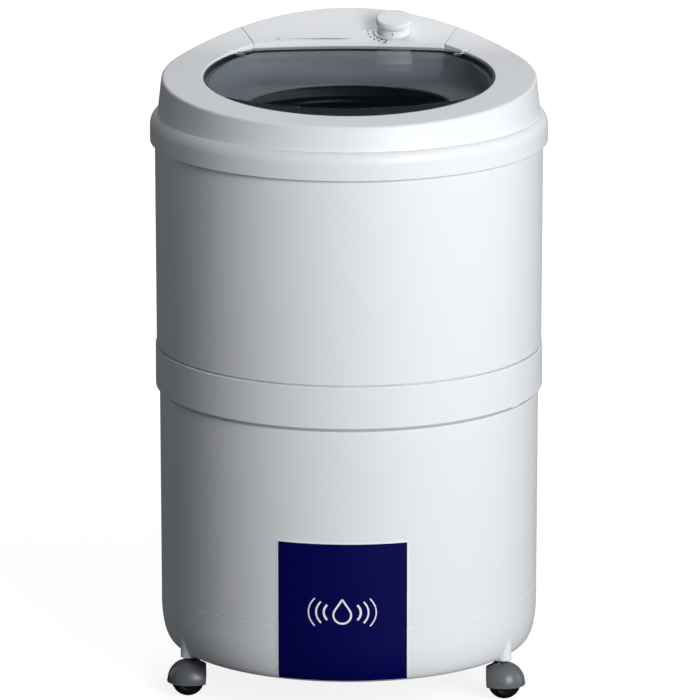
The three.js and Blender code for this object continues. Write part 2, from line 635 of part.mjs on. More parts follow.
add(spinner, "drive_shaft", rod(SHAFT_R, DISC_Z - 4 - BASKET_Z, NUT_H + 11, TURN), "steel");
const rotorLow = MOTOR_Z + 18 - BASKET_Z;
add(spinner, "rotor", ring(35, SHAFT_BORE_R, rotorLow, rotorLow + MOTOR_H - 36), "dark");
const discLow = DISC_Z - BASKET_Z;
add(spinner, "brake_disc", ring(DISC_R, SHAFT_BORE_R, discLow, discLow + 4), "steel");

// ---------- bearings, bracket, mounts and motor ----------
const BEARING_BORE_R = bore(SHAFT_R + RUNNING_GAP, TURN);
const BEARING_R = 16.7;
const TUBE_TOP_Z = BASKET_Z - 20;
const housingProfile = [
  [BEARING_R + GAP, BRACKET_Z + 4.3],
  [36, BRACKET_Z + 4.3],
  [36, BRACKET_Z + 8],
  [BEARING_TUBE_R, BRACKET_Z + 8],
  [BEARING_TUBE_R, TUBE_TOP_Z],
  [BEARING_R + GAP, TUBE_TOP_Z],
];
add(part, "bearing_housing", turned(housingProfile), "alloy");
add(part, "upper_bearing", ring(BEARING_R, BEARING_BORE_R, TUBE_TOP_Z - 11, TUBE_TOP_Z - 2), "steel");
add(part, "lower_bearing", ring(BEARING_R, BEARING_BORE_R, BRACKET_Z + 7, BRACKET_Z + 16), "steel");

const MOUNT_DEG = [30, 150, 270];
const arms = MOUNT_DEG.map((deg) =>
  placed(box(30, MOUNT_PCR + 16, -14, 14, BRACKET_Z, BRACKET_Z + 4), turnZ(deg)),
);
add(part, "motor_bracket", joined(ring(48, 20, BRACKET_Z, BRACKET_Z + 4), ...arms), "dark");

function mountProfile(low, high) {
  const bulges = [0, 1, 2].flatMap((k) => {
    const z = low + 20 + (k * (high - low - 40)) / 2;
    return [[10, z - 10], [14, z], [10, z + 10]];
  });
  return [[0, low], [15, low], [15, low + 6], ...bulges, [15, high - 5], [15, high], [0, high]];
}
MOUNT_DEG.forEach((deg, i) => {
  const foot = subGroup(MOUNT_PCR * Math.cos(rad(deg)), MOUNT_PCR * Math.sin(rad(deg)), PLATE_TOP_Z);
  const post = mountProfile(GAP, BRACKET_Z - PLATE_TOP_Z - GAP);
  add(foot, "suspension_mount_" + (i + 1), turned(post, 10), "lining");
});

const motor = subGroup(0, 0, MOTOR_Z);
const canProfile = [
  [14, 0],
  [MOTOR_R - 8, 0],
  [MOTOR_R, 10],
  [MOTOR_R, MOTOR_H - 10],
  [MOTOR_R - 8, MOTOR_H],
  [14, MOTOR_H],
  [14, MOTOR_H - 3],
  [MOTOR_R - 10, MOTOR_H - 3],
  [MOTOR_R - 3, MOTOR_H - 12],
  [MOTOR_R - 3, 12],
  [MOTOR_R - 10, 3],
  [14, 3],
];
add(motor, "motor_housing", turned(canProfile), "dark");
add(motor, "stator", ring(MOTOR_R - 3.5, 36, 20, MOTOR_H - 20), "dark");

// ---------- brake and electrics on the base plate ----------
const brake = subGroup(DISC_R + 18, 34, DISC_Z);
const leverArm = box(-8.5, -2, -46, 0, -1.5, 5.5);
const leverBore = rod(bore(3 + RUNNING_GAP, ROD), -5, 9);
add(brake, "brake_lever", cut(joined(leverArm, rod(8.5, -1.5, 5.5, MID)), leverBore), "dark");
add(brake, "brake_pad", box(-15, -8.5 - GAP, -43, -25, -1, 5), "lining");
add(brake, "brake_pivot_pin", rod(3, PLATE_TOP_Z + GAP - DISC_Z, 9), "steel");

const capacitorSpot = chain(turnZ(210), at(MOUNT_PCR + 17, 0, PLATE_TOP_Z));
add(part, "capacitor", placed(rod(17, GAP, 62), capacitorSpot), "case");
const switchX = PIN_X + 19;
const switchTop = RIM_Z - WALL - 0.9;
const switchBlock = box(-switchX - 20, -switchX, HINGE_Y - 11, HINGE_Y + 5, switchTop - 14, switchTop);
add(part, "interlock_switch", placed(switchBlock, slope), "grey");

// ---------- castors: local x runs along the trail, and the axle along local y ----------
const HOOD_IN_R = HOOD_R - 2.4;
const HOOD_FLAT = CASTOR_WHEEL_R + 1.8; // flat side of the hood, next to the stem
const WHEEL_FACETS = 16;
const TREAD_R = bore(CASTOR_WHEEL_R, WHEEL_FACETS); // so that a flat rests on the floor
const HUB_SIDE = 13;
function ball(r, around, high) {
  const g = new THREE.SphereGeometry(r, around, high);
  g.rotateX(Math.PI / 2);
  return solid(g);
}
const hollow = ball(HOOD_IN_R, 14, 8).intersect(box(-HOOD_FLAT + 0.9, 30, -30, 30, -30, 30));
const webPlate = box(-13, 13, -1.2, 1.2, -4, 30).intersect(ball(HOOD_R - 0.9, 16, 8));
const dome = ball(HOOD_R, 16, 8).intersect(box(-HOOD_FLAT, 30, -30, 30, -1, 30));
const stemSocket = placed(rod(STEM_R + GAP, 14, 30), at(-TRAIL, 0, 0));
const axleHole = placed(rod(AXLE_R + GAP, -5, 5), turnX(90));
const hood = cut(joined(cut(dome, hollow), webPlate), stemSocket, axleHole);
const wheelProfile = [
  [bore(AXLE_R + RUNNING_GAP, ROD), 1.5],
  [TREAD_R, 1.5],
  [TREAD_R, 4],
  [CASTOR_WHEEL_R - 2.4, 9.6],
  [CASTOR_WHEEL_R - 6.4, HUB_SIDE],
  [bore(AXLE_R + RUNNING_GAP, ROD), HUB_SIDE],
];
const wheel = placed(turned(wheelProfile, WHEEL_FACETS, Math.PI / WHEEL_FACETS), turnX(90));
const trailDegs = [180, 0, -90]; // the rear castor trails inwards
CASTOR_DEG.forEach((deg, i) => {
  const spot = new THREE.Vector3().setFromMatrixPosition(castorFrame(deg));
  const swivel = subGroup(spot.x, spot.y, 0);
  swivel.rotation.z = rad(trailDegs[i]);
  const axle = subGroup(TRAIL, 0, CASTOR_WHEEL_R, swivel);
  const name = "castor_" + (i + 1);
  add(swivel, name + "_stem", rod(STEM_R, CASTOR_WHEEL_R + HOOD_R - 3.3, STEM_TOP_Z), "steel");
  add(axle, name + "_hood", hood, "hood");
  add(axle, name + "_axle", placed(rod(AXLE_R, -HUB_SIDE - 0.4, HUB_SIDE + 0.4), turnX(90)), "steel");
  add(axle, name + "_wheel_a", wheel, "wheel");
  add(axle, name + "_wheel_b", placed(wheel, turnZ(180)), "wheel");
});

export default part;
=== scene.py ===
"""Looks of an upright spin dryer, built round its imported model.

Outlines are in millimetres and Blender's scene is in metres.
"""

import json
import math

import bmesh
import bpy
from mathutils import Matrix, Vector


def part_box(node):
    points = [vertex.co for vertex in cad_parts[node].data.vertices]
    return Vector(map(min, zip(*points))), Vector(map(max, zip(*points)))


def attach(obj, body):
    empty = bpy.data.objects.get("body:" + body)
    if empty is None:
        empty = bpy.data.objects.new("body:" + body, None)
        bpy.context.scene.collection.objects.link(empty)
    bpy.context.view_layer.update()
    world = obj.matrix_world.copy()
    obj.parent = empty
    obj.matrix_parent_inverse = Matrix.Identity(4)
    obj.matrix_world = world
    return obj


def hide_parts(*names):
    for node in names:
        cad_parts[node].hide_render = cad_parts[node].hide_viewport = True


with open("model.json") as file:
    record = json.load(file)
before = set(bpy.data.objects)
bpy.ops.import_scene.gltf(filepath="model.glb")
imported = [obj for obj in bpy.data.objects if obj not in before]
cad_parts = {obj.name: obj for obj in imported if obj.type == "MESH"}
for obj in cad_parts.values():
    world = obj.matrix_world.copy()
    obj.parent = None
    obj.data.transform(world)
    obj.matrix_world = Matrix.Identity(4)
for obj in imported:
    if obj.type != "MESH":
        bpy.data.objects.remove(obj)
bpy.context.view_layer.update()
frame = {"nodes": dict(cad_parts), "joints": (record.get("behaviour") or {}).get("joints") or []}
MM = 0.001
METRE = 1000  # millimetres

# ---------- camera ----------
CAMERA_PLACE = Vector((0.001, -6.94, 2.06))
CAMERA_AIM = Vector((0.001, 0.0, 0.331))
CAMERA_LENS = 372.6

camera_data = bpy.data.cameras.new("camera")
camera_data.lens = CAMERA_LENS
camera_data.clip_end = 60
camera = bpy.data.objects.new("camera", camera_data)
camera.location = CAMERA_PLACE
camera.rotation_euler = (CAMERA_AIM - CAMERA_PLACE).to_track_quat("-Z", "Y").to_euler()
bpy.context.scene.collection.objects.link(camera)
bpy.context.scene.camera = camera
bpy.context.scene.view_settings.view_transform = "Standard"


# ---------- sizes, from the frame ----------
def low(node):
    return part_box(node)[0] / MM


def high(node):
    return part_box(node)[1] / MM


JOINTS = {joint["name"]: joint for joint in frame["joints"]}


def joint_place(name):
    return Vector(JOINTS[name]["pos_m"]) / MM


GAP = 0.3
WALL = 2.8
COLLAR_R = high("top_cover").x
COLLAR_Z = low("top_cover").z
RIM_R = COLLAR_R - 12
RIM_Z = COLLAR_Z + 63
TOP_SLOPE = 0.07
CASE_R = high("upper_shell").x
CASE_LOW_R = CASE_R - 0.7
COVER_IN_R = CASE_R + 0.5
BELT_R = high("lower_shell").x
BELT_TOP_Z = high("lower_shell").z
BELT_Z = BELT_TOP_Z - 41
SHELF_Z = BELT_TOP_Z - 20.5
LOWER_R = BELT_R - 3.9
LOWER_FOOT_R = LOWER_R - 0.6
BELT_IN_R = LOWER_R + 0.6
BOSS_DROP = 2.5  # how far the castor bosses stand below the foot
BODY_Z = low("lower_shell").z + BOSS_DROP
FOOT_H = 38
FOOT_IN = 10.2
SKIN = 2.5
OPENING_R = high("lid_gasket").x + GAP
CHORD_Y = high("lid_gasket").y + GAP
CHORD_R = 569
CHORD_CENTRE_Y = CHORD_Y - CHORD_R
PANEL_Y = CHORD_Y - 45
PANEL_CURVE_R = 327
SEAM_LEAN = 1 / 3
SEAM_Z = COLLAR_Z + 29
LID_T = 4
LID_DROP = 1.5
LID_INSET = 3.3
HINGE = joint_place("lid_hinge")
PIN_R = 1.5
MOUTH_R = OPENING_R - 42.8
MOUTH_Z = RIM_Z - 29.5
GRIP_R = 194
GRIP_DEPTH = 30.8
GRIP_CENTRE_Y = GRIP_R - (OPENING_R - GRIP_DEPTH)
KNOB_R = 17.5
KNOB_H = 12
BASE_TURN = math.radians(-2)
CASTORS = (1, 2, 3)
SIDES = (-1, 1)

AROUND = 288  # facets of the big shells
TURN = 96  # facets of turned parts
ROD = 48  # facets of rods and bores
DRILL = 24  # facets of the drum's holes
PANEL_COLUMNS = 96
GRIP_COLUMNS = 140
CREASE = 32  # degrees at which shading breaks
WELD = 1e-7  # metres


# ---------- shader maths ----------
class Value:
    """A shader socket that can stand in a sum."""

    def __init__(self, paint, socket):
        self.paint = paint
        self.socket = socket

    def maths(self, operation, first, second):
        return self.paint.add("ShaderNodeMath", {"operation": operation}, {0: first, 1: second})

    def __add__(self, other):
        return self.maths("ADD", self, other)

    __radd__ = __add__

    def __sub__(self, other):
        return self.maths("SUBTRACT", self, other)

    def __rsub__(self, other):
        return self.maths("SUBTRACT", other, self)

    def __mul__(self, other):
        return self.maths("MULTIPLY", self, other)

    __rmul__ = __mul__


class Paint:
    """One material: a Principled shader and the nodes that feed it."""

    def __init__(self, name, **constants):
        self.material = bpy.data.materials.new(name)
        self.material.use_nodes = True
        self.nodes = self.material.node_tree.nodes
        self.links = self.material.node_tree.links
        self.nodes.clear()
        self.shader = self.nodes.new("ShaderNodeBsdfPrincipled")
        output = self.nodes.new("ShaderNodeOutputMaterial")
        self.links.new(self.shader.outputs[0], output.inputs[0])
        for socket, value in constants.items():
            self.shader.inputs[socket.replace("_", " ")].default_value = value
        self.place = self.add("ShaderNodeTexCoord", output="Object")

    def add(self, kind, settings=None, values=None, output=0):
        node = self.nodes.new(kind)
        for name, setting in (settings or {}).items():
            if name == "stops":
                self.set_stops(node.color_ramp, setting)
            else:
                setattr(node, name, setting)
        for name, value in (values or {}).items():
            self.feed(node.inputs[name], value)
        return Value(self, node.outputs[output])

    def set_stops(self, ramp, stops):
        while len(ramp.elements) < len(stops):
            ramp.elements.new(0.5)
        for element, (position, colour) in zip(ramp.elements, stops):
            element.position = position
            element.color = (*colour, 1)

    def feed(self, socket, value):
        if isinstance(value, Value):
            self.links.new(value.socket, socket)
        else:
            socket.default_value = value

    def noise(self, scale, detail=2, rough=0.5, place=None):
        """Noise whose grain is about 1 / scale metres across."""
        values = {"Vector": place or self.place, "Scale": scale, "Detail": detail, "Roughness": rough}
        return self.add("ShaderNodeTexNoise", None, values)

    def stretched(self, x, y, z):
        settings = {"operation": "MULTIPLY"}
        return self.add("ShaderNodeVectorMath", settings, {0: self.place, 1: (x, y, z)})

    def between(self, factor, first, second):
        settings = {"data_type": "RGBA"}
        values = {0: factor, 6: (*first, 1), 7: (*second, 1)}
        return self.add("ShaderNodeMix", settings, values, output=2)

    def colour(self, value):
        self.feed(self.shader.inputs["Base Color"], value)

    def roughness(self, value):
        self.feed(self.shader.inputs["Roughness"], value)

    def bump(self, height, depth, strength=1.0):
        """Bump of a depth in metres."""
        values = {"Height": height, "Distance": depth, "Strength": strength}
        self.feed(self.shader.inputs["Normal"], self.add("ShaderNodeBump", None, values))


def moulded(name, dark, light, rough, spread=0.06, grain=0.00002, coat=0.0, shine=0.5):
    """Moulded plastic: cloudy colour, a fine skin and slow waves left by the mould."""
    paint = Paint(name, Coat_Weight=coat, Coat_Roughness=0.08, Specular_IOR_Level=shine)
    clouds = paint.noise(9, detail=3)
    skin = paint.noise(2600, detail=1)
    waves = paint.noise(30, detail=1)
    paint.colour(paint.between(clouds, dark, light))
    paint.roughness(rough - spread / 2 + spread * clouds + 0.04 * skin)
    paint.bump(skin * 0.5 + waves, grain)
    return paint.material


def white_plastic():
    dark, light = (0.765, 0.785, 0.81), (0.785, 0.802, 0.822)
    return moulded("white_gloss_plastic", dark, light, 0.42, grain=0.00001, shine=0.3)


def bowl_plastic():
    dark, light = (0.61, 0.685, 0.755), (0.63, 0.7, 0.77)
    return moulded("pale_blue_grey_plastic", dark, light, 0.4, grain=0.00001, shine=0.3)


def grey_plastic():
    return moulded("grey_plastic", (0.3, 0.315, 0.335), (0.35, 0.36, 0.375), 0.45, grain=0.00003)


def smoked_plastic():
    """Clear smoked lid: a cloudy tint and faint wiping marks."""
    paint = Paint("smoked_clear_plastic", Alpha=0.33, IOR=1.5)
    clouds = paint.noise(14, detail=2)
    wiped = paint.noise(60, detail=3, place=paint.stretched(1, 6, 1))
    paint.colour(paint.between(clouds, (0.006, 0.011, 0.015), (0.009, 0.015, 0.019)))
    paint.roughness(0.035 + 0.04 * wiped)
    return paint.material


def slate_plastic():
    return moulded("slate_gloss_plastic", (0.022, 0.034, 0.042), (0.028, 0.042, 0.05), 0.12, coat=0.4)


def black_rubber():
    dark, light = (0.006, 0.006, 0.006), (0.014, 0.014, 0.014)
    return moulded("black_rubber", dark, light, 0.62, spread=0.15, grain=0.00008)


def label_film():
    dark, light = (0.0011, 0.0011, 0.071), (0.0013, 0.0013, 0.077)
    return moulded("navy_label_film", dark, light, 0.5, spread=0.03, grain=0.000004, shine=0.08)


def ink(name, dark, light, rough=0.45):
    """Printing ink, with less grain than the plastics."""
    return moulded(name, dark, light, rough, spread=0.05, grain=0.000004)


def white_ink():
    return ink("white_ink", (0.83, 0.84, 0.85), (0.88, 0.88, 0.88), 0.4)


def grey_ink():
    return ink("grey_ink", (0.2, 0.21, 0.22), (0.25, 0.26, 0.27))


def black_ink():
    return ink("black_ink", (0.02, 0.021, 0.024), (0.03, 0.031, 0.034))


def blue_ink():
    return ink("blue_grey_ink", (0.19, 0.25, 0.38), (0.23, 0.29, 0.42))


def metal(name, dark, light, rough, spread, scale, along, depth):
    """Bare metal whose grain is finer along its axis by a factor."""
    paint = Paint(name, Metallic=1.0)
    grain = paint.noise(scale, detail=4, rough=0.65, place=paint.stretched(1, 1, along))
    clouds = paint.noise(22, detail=3)
    paint.colour(paint.between(clouds * 0.5 + grain * 0.5, dark, light))
    paint.roughness(rough - spread / 2 + spread * grain + 0.1 * clouds)
    paint.bump(grain, depth)
    return paint.material


def turned_steel():
    dark, light = (0.42, 0.42, 0.43), (0.62, 0.62, 0.62)
    return metal("turned_steel", dark, light, rough=0.24, spread=0.14, scale=120, along=14, depth=0.00001)


def shade_darkened_drum_steel():
    # Painted shade: the steel is given a near-black colour so that the inside of the drum reads dark.
    dark, light = (0.05, 0.052, 0.055), (0.11, 0.112, 0.115)
    return metal("shade_darkened_drum_steel", dark, light, rough=0.34, spread=0.16, scale=90, along=22, depth=0.000012)


def cast_alloy():
    dark, light = (0.36, 0.37, 0.38), (0.55, 0.56, 0.57)
    return metal("cast_alloy", dark, light, rough=0.46, spread=0.2, scale=700, along=1, depth=0.00012)


def dark_steel():
    """Black paint on sheet steel, with fine orange peel."""
    dark, light = (0.018, 0.018, 0.02), (0.03, 0.03, 0.032)
    return moulded("dark_painted_steel", dark, light, 0.4, spread=0.14, grain=0.00006)


def brake_lining():
    dark, light = (0.012, 0.011, 0.01), (0.045, 0.042, 0.038)
    return moulded("brake_lining", dark, light, 0.85, spread=0.1, grain=0.0003)


def capacitor_case():
    dark, light = (0.55, 0.55, 0.51), (0.62, 0.62, 0.58)
    return moulded("capacitor_case", dark, light, 0.4, spread=0.1, grain=0.00003)


def hood_plastic():
    dark, light = (0.11, 0.118, 0.13), (0.13, 0.138, 0.15)
    return moulded("hood_gloss_plastic", dark, light, 0.34, spread=0.05, grain=0.00001)


def wheel_plastic():
    dark, light = (0.006, 0.006, 0.007), (0.012, 0.012, 0.013)
    return moulded("wheel_plastic", dark, light, 0.32, spread=0.1, grain=0.00004)


FINISHES = {
    "white_plastic": white_plastic(),
    "tinted_lid": smoked_plastic(),
    "slate_grip": slate_plastic(),
    "black_rubber": black_rubber(),
    "grey_plastic": grey_plastic(),
    "label_film": label_film(),
    "steel": turned_steel(),
    "basket_steel": shade_darkened_drum_steel(),
    "cast_alloy": cast_alloy(),
    "dark_steel": dark_steel(),
    "brake_lining": brake_lining(),
    "capacitor_case": capacitor_case(),
    "hood_plastic": hood_plastic(),
    "wheel_plastic": wheel_plastic(),
}
BOWL = bowl_plastic()
WHITE_INK = white_ink()
GREY_INK = grey_ink()
BLACK_INK = black_ink()
BLUE_INK = blue_ink()


# ---------- outlines ----------
MOST_OF_SIDE = 0.8  # share of a side that one rounding may use


def rounded(points, steps=5, closed=False):
    """Rounds each corner of an outline of (x, y) or (x, y, radius)."""
    made = []
    count = len(points)
    for i, point in enumerate(points):
        here = Vector(point[:2])
        radius = point[2] if len(point) > 2 else 0
        if not radius or (not closed and i in (0, count - 1)):
            made.append(here)
            continue
        before = Vector(points[i - 1][:2]) - here
        after = Vector(points[(i + 1) % count][:2]) - here
        half = before.angle(after) / 2
        reach = min(radius / math.tan(half), MOST_OF_SIDE * before.length, MOST_OF_SIDE * after.length)
        start = before.normalized() * reach
        end = after.normalized() * reach
        centre = (start + end) / (2 * math.cos(half) ** 2)
        turn = (start - centre).angle_signed(end - centre)
        for k in range(steps + 1):
            made.append(here + centre + Matrix.Rotation(-turn * k / steps, 2) @ (start - centre))
    return made


def arc(centre, radii, start, end, steps):
    """Points of an ellipse's arc; angles in degrees."""
    made = []
    for k in range(steps + 1):
        angle = math.radians(start + (end - start) * k / steps)
        made.append((centre[0] + radii[0] * math.cos(angle), centre[1] + radii[1] * math.sin(angle)))
    return made


def shrunk(outline, by):
    """A closed, counter-clockwise outline moved inwards."""
    made = []
    for i, here in enumerate(outline):
        along = (outline[(i + 1) % len(outline)] - outline[i - 1]).normalized()
        made.append(here + by * Vector((-along.y, along.x)))
    return made


def evenly(start, end, count):
    """count + 1 values from start to end."""
    return [start + (end - start) * k / count for k in range(count + 1)]


def polar(angle, r, z):
    """A point at an angle round the Z axis."""
    return Vector((r * math.cos(angle), r * math.sin(angle), z))


# ---------- meshes ----------
def loft(mesh, columns, wrap=False, open_outline=False, caps=()):
    """Skins the space between columns of points. caps lists the columns that are closed by a face."""
    rows = [[mesh.verts.new(point * MM) for point in column] for column in columns]
    count = len(rows[0])
    for i in range(len(rows) if wrap else len(rows) - 1):
        this, following = rows[i], rows[(i + 1) % len(rows)]
        for j in range(count - 1 if open_outline else count):
            k = (j + 1) % count
            mesh.faces.new((this[j], following[j], following[k], this[k]))
    for i in caps:
        mesh.faces.new(rows[i])
    return rows


def soften(mesh):
    """Smooth shading that breaks where faces meet at more than CREASE degrees."""
    for face in mesh.faces:
        face.smooth = True
    for edge in mesh.edges:
        if len(edge.link_faces) == 2:
            edge.smooth = edge.calc_face_angle(0) < math.radians(CREASE)


def even_normals(piece):
    evening = piece.modifiers.new("even_normals", "WEIGHTED_NORMAL")
    evening.keep_sharp = True


def piece_of(name, mesh, finish):
    """A named piece from a bmesh, welded, facing out and shaded."""
    bmesh.ops.remove_doubles(mesh, verts=mesh.verts, dist=WELD)
    bmesh.ops.dissolve_degenerate(mesh, dist=WELD, edges=mesh.edges)
    bmesh.ops.triangulate(mesh, faces=[face for face in mesh.faces if len(face.verts) > 4])
    bmesh.ops.recalc_face_normals(mesh, faces=mesh.faces)
    soften(mesh)
    data = bpy.data.meshes.new(name)
    mesh.to_mesh(data)
    mesh.free()
    data.materials.append(finish)
    piece = bpy.data.objects.new(name, data)
    bpy.context.scene.collection.objects.link(piece)
    even_normals(piece)
    return piece


def spun(outline, place=None, around=TURN):
    """Columns of an outline of (radius, height) spun round the local Z axis."""
    place = place or Matrix.Identity(4)
    columns = []
    for i in range(around):
        angle = 2 * math.pi * i / around
        turn = (math.cos(angle), math.sin(angle))
        columns.append([place @ Vector((r * turn[0], r * turn[1], z)) for r, z in outline])
    return columns


def turned(name, outline, finish, place=None, around=TURN):
    """A piece of an outline of (radius, height) spun round the local Z axis."""
    mesh = bmesh.new()
    loft(mesh, spun(outline, place, around), wrap=True)
    return piece_of(name, mesh, finish)


def cylinder(radius, start, end, place, around=ROD):
    """A plain cylinder along the local Z axis, to cut or to join with."""
    outline = [(0, start), (radius, start), (radius, end), (0, end)]
    return turned("cylinder", outline, None, place, around)


def block(name, size, place, finish, soft=0.0):
    """A box about the local origin, with soft edges."""
    mesh = bmesh.new()
    bmesh.ops.create_cube(mesh, size=1, matrix=Matrix.Diagonal((*(Vector(size) * MM), 1)))
    if soft:
        bmesh.ops.bevel(mesh, geom=mesh.edges, offset=soft * MM, segments=3, profile=0.5, affect="EDGES")
    where = place.copy()
    where.translation = where.translation * MM
    bmesh.ops.transform(mesh, matrix=where, verts=mesh.verts)
    return piece_of(name, mesh, finish)


def carve(piece, cutters, operation="DIFFERENCE"):
    """Cuts other pieces out of a piece, or joins them to it, and uses them up."""
    piece.modifiers.clear()
    for cutter in cutters:
        cutter.modifiers.clear()
        tool = piece.modifiers.new("carve", "BOOLEAN")
        tool.object = cutter
        tool.operation = operation
        tool.solver = "EXACT"
    graph = bpy.context.evaluated_depsgraph_get()
    made = bpy.data.meshes.new_from_object(piece.evaluated_get(graph))
    piece.modifiers.clear()
    mesh = bmesh.new()
    mesh.from_mesh(made)
    bmesh.ops.remove_doubles(mesh, verts=mesh.verts, dist=WELD)
    soften(mesh)
    mesh.to_mesh(piece.data)
    mesh.free()
    for cutter in cutters:
        bpy.data.objects.remove(cutter, do_unlink=True)
    even_normals(piece)
    return piece


def stands(piece, body, slot, *nodes):
    """The piece rides on a body and stands for these nodes; slot is not used."""
    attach(piece, body)
    if nodes:
        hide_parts(*nodes)
    return piece


def turned_part(name, outline, place, body, slot, node, around=TURN):
    """A turned piece in its slot's finish, riding on a body in a node's place."""
    return stands(turned(name, outline, FINISHES[slot], place, around), body, slot, node)


def at(x, y, z):
    return Matrix.Translation((x, y, z))


def turn(degrees, axis):
    return Matrix.Rotation(math.radians(degrees), 4, axis)


# ---------- the sloping top ----------
def top_z(y):
    return RIM_Z + TOP_SLOPE * y + (max(y - PANEL_Y, 0) ** 2) / (2 * PANEL_CURVE_R)


def lid_top_z(y):
    return RIM_Z - LID_DROP + TOP_SLOPE * y


def opening_r(angle, inset=0.0):
    """Radius of the opening: a circle cut short by the rear chord."""
    along = CHORD_CENTRE_Y * math.sin(angle)
    chord = along + math.sqrt(along**2 - CHORD_CENTRE_Y**2 + (CHORD_R - inset) ** 2)
    return min(OPENING_R - inset, chord)


CORNER_Y = (CHORD_R**2 - OPENING_R**2 - CHORD_CENTRE_Y**2) / (-2 * CHORD_CENTRE_Y)
CORNER = math.asin(CORNER_Y / OPENING_R)
CORNER_X = OPENING_R * math.cos(CORNER)
SEAM_SPREAD = math.radians(14)  # how far round the columns lean with the seam
LEAN_FROM_R = OPENING_R - 0.5  # columns are straight inside this radius


def seam_angle(radius, grow):
    """Where the panel's right-hand seam crosses a circle of this radius."""
    base = CORNER_X - SEAM_LEAN * CORNER_Y + grow
    steep = 1 + SEAM_LEAN**2
    y = (math.sqrt((base * SEAM_LEAN) ** 2 - steep * (base**2 - radius**2)) - base * SEAM_LEAN) / steep
    return math.asin(y / radius)


def leaned(angle, radius, grow):
    """A column's angle at a radius, so that the columns near a seam follow it."""
    right = angle if math.cos(angle) >= 0 else math.pi - angle
    weight = max(0, 1 - abs(math.remainder(right, 2 * math.pi) - CORNER) / SEAM_SPREAD)
    if not weight or radius < LEAN_FROM_R:
        return angle
    shift = weight * (seam_angle(radius, grow) - CORNER)
    return angle + shift if math.cos(angle) >= 0 else angle - shift


ACROSS = 5  # stretches between the opening and the rim
WELL_DEPTH = LID_T + 4.5
WELL_T = 2.4
INSIDE_R = COLLAR_R - 10.3


def at_seam(foot, rim):
    """Where a straight side from foot to rim crosses the seam's height."""
    share = (SEAM_Z - foot[1]) / (rim[1] - foot[1])
    return foot[0] + (rim[0] - foot[0]) * share, SEAM_Z


def rim_outline(angle):
    """(collar's outside, everything above the seam, collar's inside) at an angle, as (radius, height)."""
    s = math.sin(angle)
    o = opening_r(angle)

    def on_top(r, below=0.0):
        return r, top_z(r * s) - below

    span = [o + (RIM_R - o) * k / ACROSS for k in range(1, ACROSS)]
    shoulder = arc((COLLAR_R - 7.5, COLLAR_Z + 15), (7.5, 12), 0, 90, 8)
    rim = (RIM_R + 0.4, top_z(RIM_R * s))
    outer_cut = at_seam(shoulder[-1], rim)
    inner_foot = (INSIDE_R, COLLAR_Z + 26)
    inner_rim = on_top(RIM_R - WALL, WALL)
    inner_cut = at_seam(inner_foot, inner_rim)
    outside = [(COVER_IN_R, COLLAR_Z), (COLLAR_R, COLLAR_Z, 0.7), *shoulder, outer_cut]
    above = [
        outer_cut,
        (*rim, 3.0),
        *(on_top(r) for r in reversed(span)),
        (*on_top(o), 1.3),
        (*on_top(o, WELL_DEPTH), 0.3),
        (*on_top(o + WELL_T, WELL_DEPTH), 0.3),
        (*on_top(o + WELL_T, WALL), 0.8),
        *(on_top(r, WALL) for r in span),
        (*inner_rim, 1.2),
        inner_cut,
    ]
    inside = [
        inner_cut,
        inner_foot,
        (INSIDE_R, COLLAR_Z + 24.5),
        (COLLAR_R - 6.6, COLLAR_Z + 21.5),
        (COVER_IN_R, COLLAR_Z + 15),
    ]
    return rounded(outside), rounded(above), rounded(inside)


def rim_column(angle, grow, part, sunk=0.0):
    """One column of the cover or the panel. part picks the stretches of the outline."""
    stretches = rim_outline(angle)
    ends = {"whole": (0, 1, 2), "collar": (0, 2), "above": (1,)}[part]
    picked = []
    for s in ends:
        outline = stretches[s]
        if sunk and s == 1:
            inner = shrunk(outline, sunk)
            outline = [outline[0], *inner[1:-1], outline[-1]]
        first = 1 if s > 0 and part != "above" else 0
        picked += [(s, j, outline[j] - stretches[s][j]) for j in range(first, len(outline))]
        if s == 0 and part == "whole":
            picked.pop()
            picked.append((1, 0, Vector((0, 0))))
    column = []
    for s, j, moved in picked:
        here = stretches[s][j] + moved
        lean = leaned(angle, here.x, grow)
        if lean != angle:
            here = rim_outline(lean)[s][j] + moved
        column.append(polar(lean, *here))
    return column


SEAM_EDGE = 0.004  # turn, in radians, between a seam's edge and the softened column beside it
SEAM_SOFT = 0.45  # how far the seam's edge is drawn in
RIGHT_SEAM = CORNER
LEFT_SEAM = math.pi - CORNER
FRONT_TURN = 2 * math.pi - (LEFT_SEAM - RIGHT_SEAM)
FRONT_COUNT = round(AROUND * FRONT_TURN / (2 * math.pi))


def hinge_slots(x, lift, size, soft):
    """Cutters for the slots at the two hinge pins."""
    return [block("slot", size, at(side * x, HINGE.y, HINGE.z + lift), None, soft) for side in SIDES]


def make_cover():
    mesh = bmesh.new()
    inner = evenly(LEFT_SEAM + SEAM_EDGE, LEFT_SEAM + FRONT_TURN - SEAM_EDGE, FRONT_COUNT)
    columns = [rim_column(LEFT_SEAM, GAP, "whole", SEAM_SOFT)]
    columns += [rim_column(angle, GAP, "whole") for angle in inner]
    columns += [rim_column(RIGHT_SEAM, GAP, "whole", SEAM_SOFT)]
    rows = loft(mesh, columns)
    outside, above, _ = rim_outline(0)
    first = len(outside) - 1
    for i in (0, -1):
        mesh.faces.new(rows[i][first : first + len(above)])
    rear = evenly(RIGHT_SEAM, LEFT_SEAM, AROUND - FRONT_COUNT)
    loft(mesh, [rim_column(angle, GAP, "collar") for angle in rear])
    cover = piece_of("cover", mesh, FINISHES["white_plastic"])
    carve(cover, hinge_slots(115.3, 14.2, (8.6, 3.6, 32), 0.6))
    stands(cover, "casing", "white_plastic", "top_cover")


